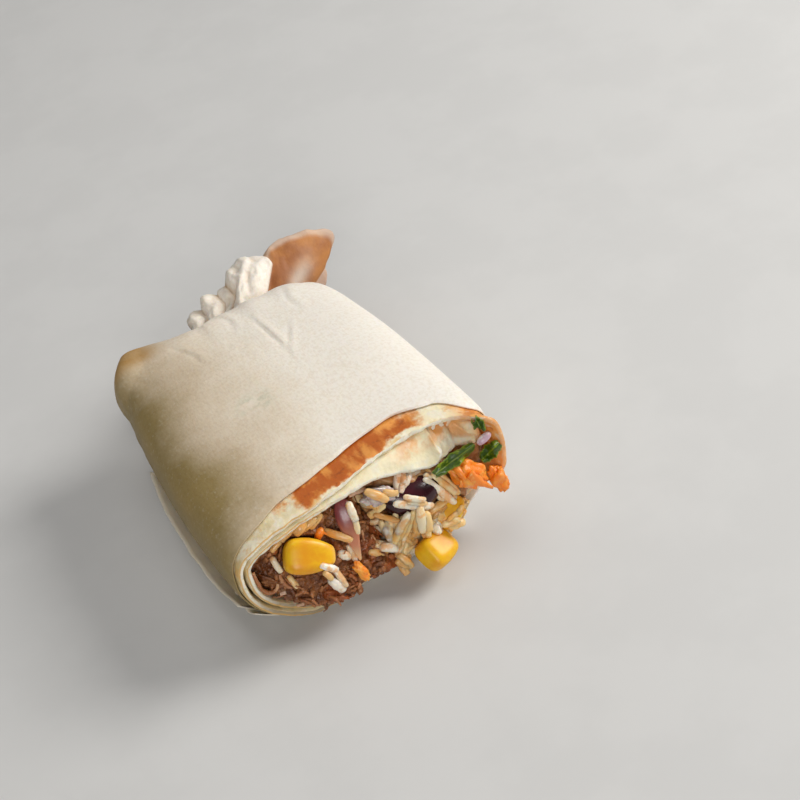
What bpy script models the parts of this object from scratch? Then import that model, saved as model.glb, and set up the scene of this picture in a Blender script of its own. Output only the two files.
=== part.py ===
# Half of a cut pulled beef wrap in greaseproof paper, lying on its flat underside.
# +Z is up, the cut face looks towards -Y and the crumpled tail of the paper points to +Y.
# Shapes are worked out in millimetres from the middle of the cut's lower edge,
# and moved at the end so that the origin is under the middle of the whole.
import math
import random

import bmesh
import bpy
from mathutils import Matrix, Vector, noise

mm = 0.001
weldDistance = 1e-6         # metres: points this close after a Boolean are one

# Driving dimensions, in millimetres
halfWidthRight = 34.6       # from the cut's middle to the paper's outer side
halfWidthLeft = 32.4
sideHeight = 19.5           # height at which the wrap is widest
topHeight = 32.3            # top of the paper over the cut's middle
topRise = 1.9               # how much higher the right shoulder is than the middle
bodyLength = 77.4           # from the cut to the folded end
shoulderStart = 62.0        # where the folded end starts to round off
paperThickness = 0.6
pieceGap = 0.33             # room kept between neighbouring pieces
pocketGap = 0.42            # room round the loose pieces
tortillaThickness = 1.5
layerGap = 0.45             # between the two turns of the tortilla
innerLength = 68.0          # how far the roll reaches inside the paper
tailLength = 21.0
roundPoints = 56            # points round one turn of the roll
rollStations = (0.0, 10.0, 32.0, 56.0, innerLength)
paperStations = (0.0, 10.0, 32.0, 46.0, 56.0, 63.0, 68.0, 72.0, 75.0, 76.6, 77.2)
riceLength, riceWidth = 8.0, 2.1
shredLength, shredWidth, shredHeight = 11.0, 1.7, 1.0

shredCount = 27
riceCount = 26
# Grains that stand out most at the cut: centre and direction
riceOnCut = (
    ((8.6, -5.0, 22.6), (0.86, -0.10, -0.45)), ((9.6, -4.6, 24.4), (0.90, -0.10, -0.40)),
    ((16.4, -3.6, 20.6), (0.42, 0.10, -0.90)), ((18.2, -3.0, 21.2), (0.40, 0.10, -0.90)),
    ((5.2, -5.2, 18.2), (-0.62, 0.10, -0.76)), ((6.0, -5.6, 16.2), (-0.50, 0.20, -0.80)),
    ((9.6, -5.2, 15.6), (-0.05, 0.10, -0.95)), ((13.0, -4.8, 15.4), (0.30, 0.10, -0.92)),
    ((1.0, -5.4, 17.8), (0.10, 0.00, -0.95)), ((1.6, -5.4, 14.2), (0.75, 0.00, -0.55)),
    ((11.6, -4.4, 12.0), (-0.80, 0.20, 0.40)))
# Grains that lie on the beef
riceOnBeef = (
    ((-22.4, -2.6, 20.6), (0.22, -0.30, -0.92)), ((-12.4, -6.6, 13.4), (0.50, -0.30, -0.80)),
    ((-12.0, -6.0, 10.4), (0.45, -0.30, -0.80)), ((-16.0, 0.2, 25.6), (0.90, 0.10, -0.30)),
    ((-9.6, 0.0, 24.6), (0.30, 0.10, -0.90)), ((-8.4, -4.4, 16.4), (0.35, -0.30, -0.85)))

# Bends of the section's four corners: superellipse powers
cornerPower = {"upperRight": 3.9, "upperLeft": 3.6, "lowerRight": 2.0, "lowerLeft": 2.0}
lowerReach = {"right": 21.5, "left": 23.0}   # the ellipse below is cut flat by the table

# The free inner end of the tortilla, across the cut, from the top layer to its tip
flapLine = ((3.5, 28.6), (8.0, 27.2), (13.0, 25.3), (17.6, 23.7), (20.0, 24.9), (20.9, 27.6),
            (21.9, 29.9), (23.3, 29.7), (24.2, 27.5), (25.2, 28.2), (26.4, 30.0), (28.0, 29.0),
            (29.0, 25.6))
flapRise = 0.22             # the flap climbs this much for each millimetre behind the cut
# Folds of the paper's tail as seen from behind the cut: direction in degrees and reach
tailFolds = ((6, 24), (29, 28), (52, 25), (80, 19.5), (107, 14.5), (128, 16.5), (148, 18), (176, 18),
             (208, 16), (240, 14), (268, 13), (300, 15.5), (336, 20))
tailCentre = (16.0, 14.5)   # across and up, where the folds open widest
partingLine = ((-2.5, 36.0), (-0.5, 20.0), (2.0, 10.0), (5.0, -4.0))   # beef left of it, rice right


def removeEverything():
    for item in list(bpy.data.objects):
        bpy.data.objects.remove(item, do_unlink=True)


def smoothStep(value, low, high):
    share = min(max((value - low) / (high - low), 0.0), 1.0)
    return share * share * (3 - 2 * share)


def makeMaterial(name, colour, roughness, metallic=0.0):
    material = bpy.data.materials.new(name)
    material.use_nodes = True
    shader = material.node_tree.nodes["Principled BSDF"]
    shader.inputs["Base Color"].default_value = (*colour, 1.0)
    shader.inputs["Roughness"].default_value = roughness
    shader.inputs["Metallic"].default_value = metallic
    material.diffuse_color = (*colour, 1.0)
    return material


def meshObject(name, points, faces, material=None):
    mesh = bpy.data.meshes.new(name)
    mesh.from_pydata([Vector(point) * mm for point in points], [], faces)
    body = bmesh.new()
    body.from_mesh(mesh)
    bmesh.ops.recalc_face_normals(body, faces=body.faces)
    bmesh.ops.triangulate(body, faces=body.faces)
    body.to_mesh(mesh)
    body.free()
    mesh.shade_smooth()
    mesh.set_sharp_from_angle(angle=math.radians(40))
    item = bpy.data.objects.new(name, mesh)
    bpy.context.scene.collection.objects.link(item)
    if material:
        mesh.materials.append(material)
    return item


# The section of the wrap

def halfWidths(y):
    back = max(y, 0.0) / 69.0
    return halfWidthLeft - 5.5 * back ** 2.5, halfWidthRight - 3.0 * back ** 3


def endRounding(y):
    share = (y - shoulderStart) / (bodyLength - shoulderStart)
    return 1.0 if share <= 0 else max(1.0 - min(share, 1.0) ** 3, 0.0) ** (1 / 3)


def cornerOf(turn):
    upper = "upper" if math.sin(turn) > 0 else "lower"
    return upper + ("Right" if math.cos(turn) > 0 else "Left")


def rawPoint(turn, y):
    # A point of the section before the table flattens it
    left, right = halfWidths(y)
    reach = right if math.cos(turn) > 0 else left
    power = 2.0 / cornerPower[cornerOf(turn)]
    close = endRounding(y)
    across = math.copysign(abs(math.cos(turn)) ** power, math.cos(turn))
    upward = abs(math.sin(turn)) ** power
    x = reach * across * (0.5 + 0.5 * close)
    if math.sin(turn) > 0:
        rise = topRise * (1 - 0.6 * y / bodyLength) * across
        belly = 1.3 * math.sin(math.pi * min(y, 66.0) / 66.0)
        return x, sideHeight + (topHeight - sideHeight + rise + belly) * upward * close
    depth = lowerReach["right" if math.cos(turn) > 0 else "left"]
    return x, sideHeight - depth * upward * (0.45 + 0.55 * close)


def evenTurns(count):
    # Angles that space the section's points evenly, starting at the lower left and going clockwise
    fine = 1440
    turns = [math.radians(250) - 2 * math.pi * i / fine for i in range(fine + 1)]
    spots = [Vector(rawPoint(turn, 0.0)) for turn in turns]
    walked = [0.0]
    for a, b in zip(spots, spots[1:]):
        walked.append(walked[-1] + (b - a).length)
    found, place = [], 0
    for i in range(count):
        goal = walked[-1] * i / count
        while walked[place + 1] < goal:
            place += 1
        found.append(turns[place])
    return found


turnList = evenTurns(roundPoints)


def sectionPoint(turn, y, inset):
    # The section moved inwards by inset along its own normal
    step = 0.012
    x, z = rawPoint(turn, y)
    ahead, behind = rawPoint(turn - step, y), rawPoint(turn + step, y)
    tangent = Vector((ahead[0] - behind[0], ahead[1] - behind[1])).normalized()
    x += tangent.y * inset
    z -= tangent.x * inset
    return x, max(z, inset)


def paperEdge(turn):
    # How far behind the cut the paper ends: the tortilla stands out most on top
    x, z = rawPoint(turn, 0.0)
    top = smoothStep(z, sideHeight, topHeight - 3)
    right = smoothStep(x, 10.0, halfWidthRight)
    return 1.2 + 1.4 * right + 4.9 * top * math.exp(-abs(x / 25.0) ** 4)


def skin(ringCount, count):
    # Triangles between neighbouring rings, all split along the same diagonal
    faces = []
    for k in range(ringCount - 1):
        for i in range(count):
            j = (i + 1) % count
            near, far = k * count, (k + 1) * count
            faces += [(near + i, near + j, far + j), (near + i, far + j, far + i)]
    return faces


def loft(rings, closedEnds=True):
    # A skin over rings of equally many points; the ends are closed by a fan round their middle
    count = len(rings[0])
    points = [point for ring in rings for point in ring]
    faces = skin(len(rings), count)
    if closedEnds:
        for k in (0, len(rings) - 1):
            middle = sum((Vector(point) for point in rings[k]), Vector()) / count
            points.append(tuple(middle))
            for i in range(count):
                j = (i + 1) % count
                faces.append((k * count + i, k * count + j, len(points) - 1))
    return points, faces


def sectionRing(y, inset, edge=False):
    ring = []
    for turn in turnList:
        start = paperEdge(turn) if edge else 0.0
        at = y + start * max(1 - y / rollStations[1], 0.0)
        x, z = sectionPoint(turn, at, inset)
        ring.append((x, at, z))
    return ring


# The paper

def sleeve():
    outside = [sectionRing(y, 0.0, True) for y in reversed(paperStations)]
    inside = [sectionRing(y, paperThickness, True) for y in rollStations]
    inside.append(sectionRing(innerLength + pieceGap, paperThickness))
    return loft(outside + inside)


def tailReach(turn, crease):
    # Distance from the tail's middle to its skin, with a valley between two folds
    degree = math.degrees(turn) % 360
    folds = list(tailFolds) + [(tailFolds[0][0] + 360, tailFolds[0][1])]
    if degree < folds[0][0]:
        degree += 360
    for (a, aReach), (b, bReach) in zip(folds, folds[1:]):
        if a <= degree <= b:
            share = (degree - a) / (b - a)
            valley = crease * 0.5 * (1 - math.cos(2 * math.pi * share))
            return (aReach + (bReach - aReach) * share) * (1 - valley)
    return folds[0][1]


def tail():
    # The gathered end of the paper: folds that open out behind the closed end
    count, rings = 66, []
    for share, swell in ((0.0, 0.5), (0.4, 0.78), (0.75, 1.0), (1.0, 0.93), (0.92, 0.45)):
        ring = []
        for i in range(count):
            turn = 2 * math.pi * i / count
            reach = tailReach(turn, 0.1 + 0.2 * share) * swell
            x = 8.0 + (tailCentre[0] - 8.0) * min(share / 0.75, 1.0) + reach * math.cos(turn)
            z = 12.5 + (tailCentre[1] - 12.5) * share + reach * math.sin(turn)
            lean = 1.6 * share * math.sin(3 * turn + 0.8)
            ring.append((x, bodyLength - 5.0 + tailLength * share + lean, max(z, 0.4 + 0.6 * share)))
        rings.append(ring)
    return loft(rings)


def seamStrip(name, yStart, yEnd, low, high, standOff, thickness=0.6):
    # A free lengthwise edge of the paper, low on the left side, that stands away from the sleeve
    rings, steps = [], 8
    for k in range(steps + 1):
        share = k / steps
        y = yStart + (yEnd - yStart) * share
        bow = standOff * (0.55 + 0.45 * math.sin(math.pi * share)) + 0.25 * math.sin(9 * share)
        outer, inner = [], []
        for i in range(5):
            turn = math.radians(high + (low - high) * i / 4)
            away = -bow * (i / 4) ** 1.5
            x, z = sectionPoint(turn, y, away - thickness * 0.5)
            outer.append((x, y, max(z, 0.35)))
            x, z = sectionPoint(turn, y, away + thickness * 0.5)
            inner.append((x, y, max(z, 0.35)))
        rings.append(outer + inner[::-1])
    return meshObject(name, *loft(rings))


def hideHelper(item):
    item.hide_render = True
    item.display_type = "WIRE"


def applyModifiers(item):
    graph = bpy.context.evaluated_depsgraph_get()
    mesh = bpy.data.meshes.new_from_object(item.evaluated_get(graph))
    item.modifiers.clear()
    old = item.data
    item.data = mesh
    bpy.data.meshes.remove(old)


def combine(item, others, operation, solver="EXACT"):
    # One Boolean on a collection, applied; the collection's objects are removed afterwards
    group = bpy.data.collections.new(item.name + "Parts")
    bpy.context.scene.collection.children.link(group)
    for other in others:
        for holder in list(other.users_collection):
            holder.objects.unlink(other)
        group.objects.link(other)
        hideHelper(other)
    change = item.modifiers.new(operation.title(), "BOOLEAN")
    change.operand_type = "COLLECTION"
    change.collection = group
    change.operation = operation
    change.solver = solver
    bpy.context.view_layer.update()
    applyModifiers(item)
    for other in list(group.objects):
        bpy.data.objects.remove(other, do_unlink=True)
    bpy.data.collections.remove(group)


def keepLargest(item):
    # Drops the loose scraps and the sealed hollows that a Boolean leaves
    body = bmesh.new()
    body.from_mesh(item.data)
    bmesh.ops.remove_doubles(body, verts=body.verts, dist=weldDistance)
    bmesh.ops.dissolve_degenerate(body, edges=body.edges, dist=weldDistance)
    islands, seen = [], set()
    for start in body.faces:
        if start in seen:
            continue
        island, stack = [], [start]
        seen.add(start)
        while stack:
            face = stack.pop()
            island.append(face)
            for edge in face.edges:
                for other in edge.link_faces:
                    if other not in seen:
                        seen.add(other)
                        stack.append(other)
        islands.append(island)
    islands.sort(key=len, reverse=True)
    loose = [face for island in islands[1:] for face in island]
    bmesh.ops.delete(body, geom=loose, context="FACES")
    bmesh.ops.triangulate(body, faces=body.faces)
    body.to_mesh(item.data)
    body.free()


def buildPaper(material):
    paper = meshObject("paper_wrap", *sleeve())
    extras = [meshObject("tail", *tail()),
              seamStrip("seamLower", 5.0, 58.0, 203, 228, 3.6),
              seamStrip("seamFront", 2.4, 12.0, 207, 229, 2.0)]
    combine(paper, extras, "UNION", "MANIFOLD")
    keepLargest(paper)
    finishMesh(paper, material)
    return paper


def finishMesh(item, material):
    item.data.shade_smooth()
    item.data.set_sharp_from_angle(angle=math.radians(40))
    item.data.materials.clear()
    item.data.materials.append(material)


# The tortilla: one sheet rolled clockwise, once round outside and on as an inner turn

def turnCountToFlap():
    # Number of points of the inner turn, up to where the flap leaves the top layer
    for i, turn in enumerate(turnList):
        x, z = rawPoint(turn, 0.0)
        if z > sideHeight and x > flapLine[0][0] - 4.0:
            return i
    return 0


def layerDepth(step):
    # Depth of the sheet's outer face below the paper's outer face, along the roll
    outer = paperThickness + pieceGap
    stepIn = tortillaThickness + layerGap
    return outer + stepIn * smoothStep(step, roundPoints - 13, roundPoints - 4)


def sheetPath(y):
    # Outer and inner face of the sheet across the roll, at y behind the cut
    outer, inner = [], []
    innerTurn = turnCountToFlap()
    for step in range(roundPoints + innerTurn):
        turn = turnList[step % roundPoints]
        depth = layerDepth(step)
        outer.append(sectionPoint(turn, y, depth))
        inner.append(sectionPoint(turn, y, depth + tortillaThickness))
    for i in range(len(flapLine)):
        before, after = flapLine[max(i - 1, 0)], flapLine[min(i + 1, len(flapLine) - 1)]
        along = Vector((after[0] - before[0], after[1] - before[1])).normalized()
        x, z = flapPoint(i, y)
        half = 0.5 * tortillaThickness * 0.86
        outer.append((x - along.y * half, z + along.x * half))
        inner.append((x + along.y * half, z - along.x * half))
    return outer, inner


def flapPoint(i, y):
    # A point of the flap's middle line: it climbs behind the cut and narrows with the wrap
    x, z = flapLine[i]
    z += min(y, 10.0) * flapRise * smoothStep(x, 3.0, 12.0) * (1 - smoothStep(x, 18.0, 21.0))
    close = endRounding(y)
    narrow = halfWidths(y)[1] / halfWidthRight * (0.5 + 0.5 * close)
    return x * narrow, sideHeight + (z - sideHeight) * close * (1 - 0.06 * (y / innerLength) ** 2)


def cutSetBack(x, z):
    # The lower right of the cut is pulled in, where filling has fallen out
    return 4.0 * smoothStep(x, 8.0, 26.0) * (1 - smoothStep(z, 5.0, 14.0))


def buildTortilla(material):
    rings = []
    for y in rollStations:
        outer, inner = sheetPath(y)
        ring = []
        for x, z in outer + inner[::-1]:
            ring.append((x, y + cutSetBack(x, z) * (1 - y / innerLength), z))
        rings.append(ring)
    count = len(rings[0])
    points = [point for ring in rings for point in ring]
    faces = skin(len(rings), count)
    for k in (0, len(rings) - 1):
        for i in range(count // 2 - 1):
            mirror = count - 1 - i
            faces.append((k * count + i, k * count + i + 1, k * count + mirror - 1, k * count + mirror))
    return meshObject("tortilla", points, faces, material)


# The filling

def fillingOutline(y, room):
    # The hollow of the roll less some room, clockwise from the lower left
    outline = []
    innerTurn = turnCountToFlap()
    for step in range(innerTurn, roundPoints + innerTurn):
        turn = turnList[step % roundPoints]
        x, z = sectionPoint(turn, y, layerDepth(step) + tortillaThickness + room)
        if step < roundPoints and z > 20.5:
            continue
        outline.append((x, z))
    under = []
    for i in range(0, 5):
        x, z = flapPoint(i, y)
        under.append((x + 0.3, z - 0.5 * tortillaThickness - room))
    rightWall = outline[0]
    under.append((21.5, 22.8 - room))
    under.append((rightWall[0] - 1.0, 21.6 - room))
    return under + outline


def ringAt(outline, y):
    return [(x, y, z) for x, z in outline]


def frontOf(x, z, beef):
    # Where the lumpy face of the filling lies, in front of the cut (negative) or behind it
    lump = noise.noise(Vector((x * 0.16, 3.7, z * 0.16))) * 1.9
    lump += noise.noise(Vector((x * 0.45, 8.1, z * 0.45))) * 0.8
    if beef:
        low = 1 - smoothStep(z, 8.0, 24.0)
        side = smoothStep(x, -29.0, -18.0)
        return 1.2 - 5.6 * low * side + lump
    return 0.6 - 2.2 * smoothStep(x, 0.0, 8.0) + 2.4 * smoothStep(x, 18.0, 27.0) + lump


def inside(outline, x, z):
    crossed = False
    for (ax, az), (bx, bz) in zip(outline, outline[1:] + outline[:1]):
        if (az > z) != (bz > z) and x < ax + (bx - ax) * (z - az) / (bz - az):
            crossed = not crossed
    return crossed


def partingX(z):
    for (ax, az), (bx, bz) in zip(partingLine, partingLine[1:]):
        if bz <= z <= az:
            return ax + (bx - ax) * (z - az) / (bz - az)
    return partingLine[-1][0]


def halfOutline(y, room, beef):
    # The filling's outline on one side of the parting line
    outline = fillingOutline(y, room)
    kept = []
    for (ax, az), (bx, bz) in zip(outline, outline[1:] + outline[:1]):
        aOff, bOff = ax - partingX(az), bx - partingX(bz)
        side = -1 if beef else 1
        if aOff * side > pieceGap * 0.6:
            kept.append((ax, az))
        if (aOff * side > 0) != (bOff * side > 0):
            share = aOff / (aOff - bOff)
            x, z = ax + (bx - ax) * share, az + (bz - az) * share
            kept.append((x + side * pieceGap * 0.6, z))
    return kept


def resampled(outline, count):
    # The same number of points on every ring, evenly spaced, from the point nearest the lower parting
    spots = [Vector(point) for point in outline]
    start = min(range(len(spots)), key=lambda i: (spots[i] - Vector((4.0, 0.0))).length)
    spots = spots[start:] + spots[:start + 1]
    walked = [0.0]
    for a, b in zip(spots, spots[1:]):
        walked.append(walked[-1] + (b - a).length)
    found, place = [], 0
    for i in range(count):
        goal = walked[-1] * i / count
        while walked[place + 1] < goal:
            place += 1
        share = (goal - walked[place]) / max(walked[place + 1] - walked[place], 1e-9)
        found.append(tuple(spots[place].lerp(spots[place + 1], share)))
    return found


def heapCore(name, beef, room=0.55, count=36):
    rings = []
    for y in (innerLength - 1.0, 30.0, 8.0, 3.6):
        rings.append(ringAt(resampled(halfOutline(y, room, beef), count), y))
    face = resampled(halfOutline(0.0, room, beef), count)
    middle = sum((Vector(point) for point in face), Vector((0.0, 0.0))) / count
    for shrink in (0.985, 0.84, 0.62, 0.38, 0.16):
        ring = []
        for point in face:
            x, z = middle + (Vector(point) - middle) * shrink
            y = frontOf(x, z, beef)
            ring.append((x, y + 2.2 * smoothStep(shrink, 0.8, 1.0), z))
        rings.append(ring)
    return meshObject(name, *loft(rings)), face


def frameFrom(along, outward):
    # Local X runs along the piece, local Z looks outwards
    first = Vector(along).normalized()
    third = Vector(outward) - first * Vector(outward).dot(first)
    third.normalize()
    return Matrix((first, third.cross(first), third)).transposed()


def grain(centre, along, outward=(0.0, -0.7, 0.7), length=riceLength, width=riceWidth, plump=1.0):
    # A rice grain: six sides and two blunt tips
    turn = frameFrom(along, outward)
    stations = ((-0.5, 0.0), (-0.36, 0.8), (0.05, 1.0), (0.38, 0.76), (0.5, 0.0))
    points, faces, sides = [], [], 6
    for place, swell in stations:
        bend = 0.35 * (1 - (2 * place) ** 2)
        number = 1 if swell == 0 else sides
        for i in range(number):
            angle = 2 * math.pi * i / sides
            radius = 0.5 * width * swell * plump
            spot = Vector((place * length, radius * math.cos(angle), radius * math.sin(angle) + bend))
            points.append(tuple(turn @ spot + Vector(centre)))
    for i in range(sides):
        j = (i + 1) % sides
        faces.append((0, 1 + j, 1 + i))
        for k in (0, 1):
            low, high = 1 + k * sides, 1 + (k + 1) * sides
            faces.append((low + i, low + j, high + j, high + i))
        faces.append((1 + 2 * sides + i, 1 + 2 * sides + j, 1 + 3 * sides))
    return meshObject("grain", points, faces)


def shred(centre, along, outward, length, width, height, bend):
    # A strip of pulled meat with four sides and a bend
    turn = frameFrom(along, outward)
    rings = []
    for place, swell in ((-0.5, 0.35), (-0.3, 0.9), (0.0, 1.0), (0.3, 0.85), (0.5, 0.3)):
        middle = Vector((place * length, 0.0, bend * (1 - (2 * place) ** 2)))
        ring = []
        for side, up in ((-0.5, -0.5), (0.5, -0.5), (0.5, 0.5), (-0.5, 0.5)):
            spot = middle + Vector((0.0, side * width * swell, up * height * swell))
            ring.append(tuple(turn @ spot + Vector(centre)))
        rings.append(ring)
    points = [point for ring in rings for point in ring]
    faces = [(0, 1, 2, 3), (16, 17, 18, 19)]
    for k in range(len(rings) - 1):
        for i in range(4):
            j = (i + 1) % 4
            faces.append((4 * k + i, 4 * k + j, 4 * k + 4 + j, 4 * k + 4 + i))
    return meshObject("shred", points, faces)


def spreadSpots(outline, amount, apart, draw):
    # Seeded places inside an outline, kept apart from one another
    xs, zs = [point[0] for point in outline], [point[1] for point in outline]
    found = []
    for _ in range(amount * 60):
        x, z = draw.uniform(min(xs), max(xs)), draw.uniform(min(zs), max(zs))
        close = any((x - a) ** 2 + (z - b) ** 2 < apart ** 2 for a, b in found)
        if inside(outline, x, z) and not close:
            found.append((x, z))
        if len(found) == amount:
            break
    return found


def faceShreds(face, draw):
    found = []
    middle = sum((Vector(point) for point in face), Vector((0.0, 0.0))) / len(face)
    inner = [tuple(middle + (Vector(point) - middle) * 0.86) for point in face]
    for x, z in spreadSpots(inner, shredCount, 3.3, draw):
        tilt = draw.uniform(0, math.pi)
        ahead = frontOf(x + 2 * math.cos(tilt), z + 2 * math.sin(tilt), True)
        behind = frontOf(x - 2 * math.cos(tilt), z - 2 * math.sin(tilt), True)
        slope = min(max((ahead - behind) / 4, -0.35), 0.35)
        along = (math.cos(tilt), slope, math.sin(tilt))
        size = draw.uniform(0.45, 0.95)
        place = (x, frontOf(x, z, True) + 0.4, z)
        found.append(shred(place, along, (draw.uniform(-0.3, 0.3), -1.0, 0.45), shredLength * size,
                           shredWidth * draw.uniform(0.75, 1.3), shredHeight * draw.uniform(0.8, 1.4),
                           draw.uniform(0.3, 1.5)))
    return found


def faceGrains(face, amount, apart, draw, beef):
    found = []
    for x, z in spreadSpots(face, amount, apart, draw):
        tilt = draw.uniform(0, math.pi)
        along = (math.cos(tilt), draw.uniform(-0.6, 0.6), math.sin(tilt))
        lift = -0.5 + draw.uniform(-0.7, 0.2)
        place = (x, frontOf(x, z, beef) + lift, z)
        found.append(grain(place, along, (0.0, -1.0, 0.3), riceLength * draw.uniform(0.8, 1.1),
                           riceWidth * draw.uniform(0.9, 1.1)))
    return found


def ballPoints(size, shape, segments=10, rings=7):
    # A rounded block: local X is its length, shape bends or tapers each point
    points = []
    for k in range(rings + 1):
        lean = math.pi * k / rings
        number = 1 if k in (0, rings) else segments
        for i in range(number):
            angle = 2 * math.pi * i / segments
            unit = Vector((-math.cos(lean), math.sin(lean) * math.cos(angle),
                           math.sin(lean) * math.sin(angle)))
            points.append(shape(unit, Vector(size) * 0.5))
    faces = []
    last = len(points) - 1
    for i in range(segments):
        j = (i + 1) % segments
        faces.append((0, 1 + j, 1 + i))
        for k in range(rings - 2):
            low, high = 1 + k * segments, 1 + (k + 1) * segments
            faces.append((low + i, low + j, high + j, high + i))
        tip = 1 + (rings - 2) * segments
        faces.append((tip + i, tip + j, last))
    return points, faces


def boxy(unit, power):
    return Vector([math.copysign(abs(part) ** power, part) for part in unit])


def cornShape(unit, half):
    # Wide at the crown, narrow at the tip, with flattish sides
    spot = boxy(unit, 0.8)
    narrow = 1.0 - 0.3 * smoothStep(spot.x, -0.2, 1.1)
    return Vector((spot.x * half.x, spot.y * half.y * narrow, spot.z * half.z * narrow))


def beanShape(unit, half):
    # A kidney: an egg shape bent in its middle
    bend = 0.34 * (1 - unit.x ** 2)
    return Vector((unit.x * half.x, (unit.y - bend + 0.17) * half.y, unit.z * half.z))


def chunkShape(unit, half):
    # A lump with a few flats and hollows
    spot = boxy(unit, 0.86)
    lump = 1 + 0.34 * noise.noise(Vector(unit) * 1.4 + Vector((half.x, half.y, 4.0)))
    return Vector((spot.x * half.x * lump, spot.y * half.y * lump, spot.z * half.z * lump))


def onionShape(unit, half):
    # A long sliver, deepest at its middle
    taper = 1.0 - 0.45 * smoothStep(unit.x, -0.6, 1.0)
    curve = 0.25 * half.x * (1 - unit.x ** 2) * 0.5
    return Vector((unit.x * half.x, unit.y * half.y * taper, unit.z * half.z * taper + curve))


# Each loose piece at the cut: shape, size, centre, the way it runs, the way it looks
pieces = {
    "corn_left": (cornShape, (12.0, 8.4, 6.6), (-15.9, -3.1, 21.0),
                  (0.90, -0.30, -0.32), (-0.02, -0.77, 0.64)),
    "corn_low": (cornShape, (9.6, 8.2, 6.4), (11.4, -6.2, 6.6),
                 (0.91, 0.39, -0.14), (0.34, -0.53, 0.78)),
    "corn_middle": (cornShape, (8.6, 6.4, 5.4), (17.9, -2.3, 11.1),
                    (0.80, 0.30, 0.50), (0.08, -0.59, 0.80)),
    "kidney_bean": (beanShape, (15.5, 8.4, 7.6), (10.6, 0.2, 19.6),
                    (0.96, -0.16, -0.16), (-0.08, -0.74, 0.67)),
    "onion_long": (onionShape, (14.6, 3.6, 1.7), (-5.0, -1.4, 20.3),
                   (-0.10, -0.44, -0.89), (-0.28, -0.84, 0.46)),
    "onion_bit": (onionShape, (3.8, 2.2, 1.4), (30.4, -1.2, 24.3),
                  (0.95, 0.02, 0.30), (0.02, -0.67, 0.74)),
    "carrot_chunk": (chunkShape, (9.2, 5.4, 5.0), (24.1, -2.4, 19.1),
                     (0.62, -0.13, -0.77), (0.01, -0.99, 0.16)),
    "carrot_side": (chunkShape, (6.4, 3.6, 3.6), (31.2, -2.9, 13.2),
                    (0.29, -0.07, -0.95), (-0.16, -0.99, 0.03)),
    "carrot_bit": (chunkShape, (4.8, 2.2, 1.8), (-6.6, -5.9, 12.0),
                   (0.23, -0.35, -0.91), (-0.13, -0.94, 0.33)),
    "sauce": (chunkShape, (6.6, 3.8, 3.2), (3.3, -0.8, 24.7),
              (0.95, -0.11, -0.20), (-0.16, -0.71, 0.69)),
}
# Each leaf: length, width, centre, the way it runs, the way it looks
leaves = {
    "leaf_low": (11.5, 3.0, (22.0, -2.2, 24.0), (0.96, 0.12, 0.06), (0.16, -0.69, 0.71)),
    "leaf_top": (5.6, 2.4, (29.6, -1.7, 29.3), (0.35, 0.05, -0.94), (-0.45, -0.88, 0.10)),
    "leaf_side": (6.0, 3.4, (30.9, -2.6, 21.0), (0.85, -0.09, 0.45), (-0.37, -0.67, 0.64)),
}


def makePiece(name, extra=0.0):
    shape, size, centre, along, outward = pieces[name]
    grown = tuple(part + 2 * extra for part in size)
    turn = frameFrom(along, outward)
    points, faces = ballPoints(grown, shape)
    placed = [tuple(turn @ point + Vector(centre)) for point in points]
    return meshObject(name, placed, faces)


def makeLeaf(name, extra=0.0, thickness=0.7):
    # A thin wavy solid; both faces carry the same triangles
    length, width, centre, along, outward = leaves[name]
    turn = frameFrom(along, outward)
    columns, rows = 8, 3
    top, bottom = [], []
    for i in range(columns + 1):
        u = i / columns
        outline = (0.35 + 0.65 * math.sin(math.pi * (0.08 + 0.84 * u))) * (0.5 * width + extra)
        for j in range(rows + 1):
            v = 2 * j / rows - 1
            wave = 0.55 * math.sin(7 * u + 2 * v) + 0.3 * math.cos(9 * u - v)
            spot = Vector(((u - 0.5) * (length + 2 * extra), v * outline, wave))
            rise = Vector((0, 0, 0.5 * thickness + extra))
            top.append(tuple(turn @ (spot + rise) + Vector(centre)))
            bottom.append(tuple(turn @ (spot - rise) + Vector(centre)))
    across, offset = rows + 1, len(top)
    faces = []
    for i in range(columns):
        for j in range(rows):
            a, b = i * across + j, (i + 1) * across + j
            faces += [(a, b, b + 1), (a, b + 1, a + 1)]
            faces += [(offset + a, offset + b + 1, offset + b)]
            faces += [(offset + a, offset + a + 1, offset + b + 1)]
    border = [i * across for i in range(columns + 1)]
    border += [columns * across + j for j in range(1, rows + 1)]
    border += [i * across + rows for i in range(columns - 1, -1, -1)]
    border += [j for j in range(rows - 1, 0, -1)]
    for a, b in zip(border, border[1:] + border[:1]):
        faces += [(a, b, offset + b), (a, offset + b, offset + a)]
    return meshObject(name, top + bottom, faces)


def collar():
    # Everything outside the roll's hollow: it trims what would cross the tortilla
    rings = []
    wide = 12.0
    front, back = -pieceGap, innerLength + 2.0
    for y, out in ((front, True), (back, True), (back, False), (front, False)):
        outline = resampled(fillingOutline(max(y, 0.0), pieceGap), 72)
        if out:
            outline = [(x + (wide if x > 0 else -wide), 16 + (z - 16) * 2.2) for x, z in outline]
        rings.append(ringAt(outline, y))
    count = len(rings[0])
    points, faces = loft(rings, closedEnds=False)
    last = 3 * count
    for i in range(count):
        j = (i + 1) % count
        faces.append((last + i, last + j, j, i))
    return meshObject("collar", points, faces)


def partingBlock(beef):
    # The neighbour's side of the parting line, less half a gap
    side = 1 if beef else -1
    far = side * 60.0
    line = [(x - side * pieceGap * 0.5, z) for x, z in partingLine]
    outline = line + [(far, line[-1][1]), (far, line[0][1])]
    rings = [ringAt(outline, -20.0), ringAt(outline, innerLength + 5.0)]
    return meshObject("parting", *loft(rings))


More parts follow.
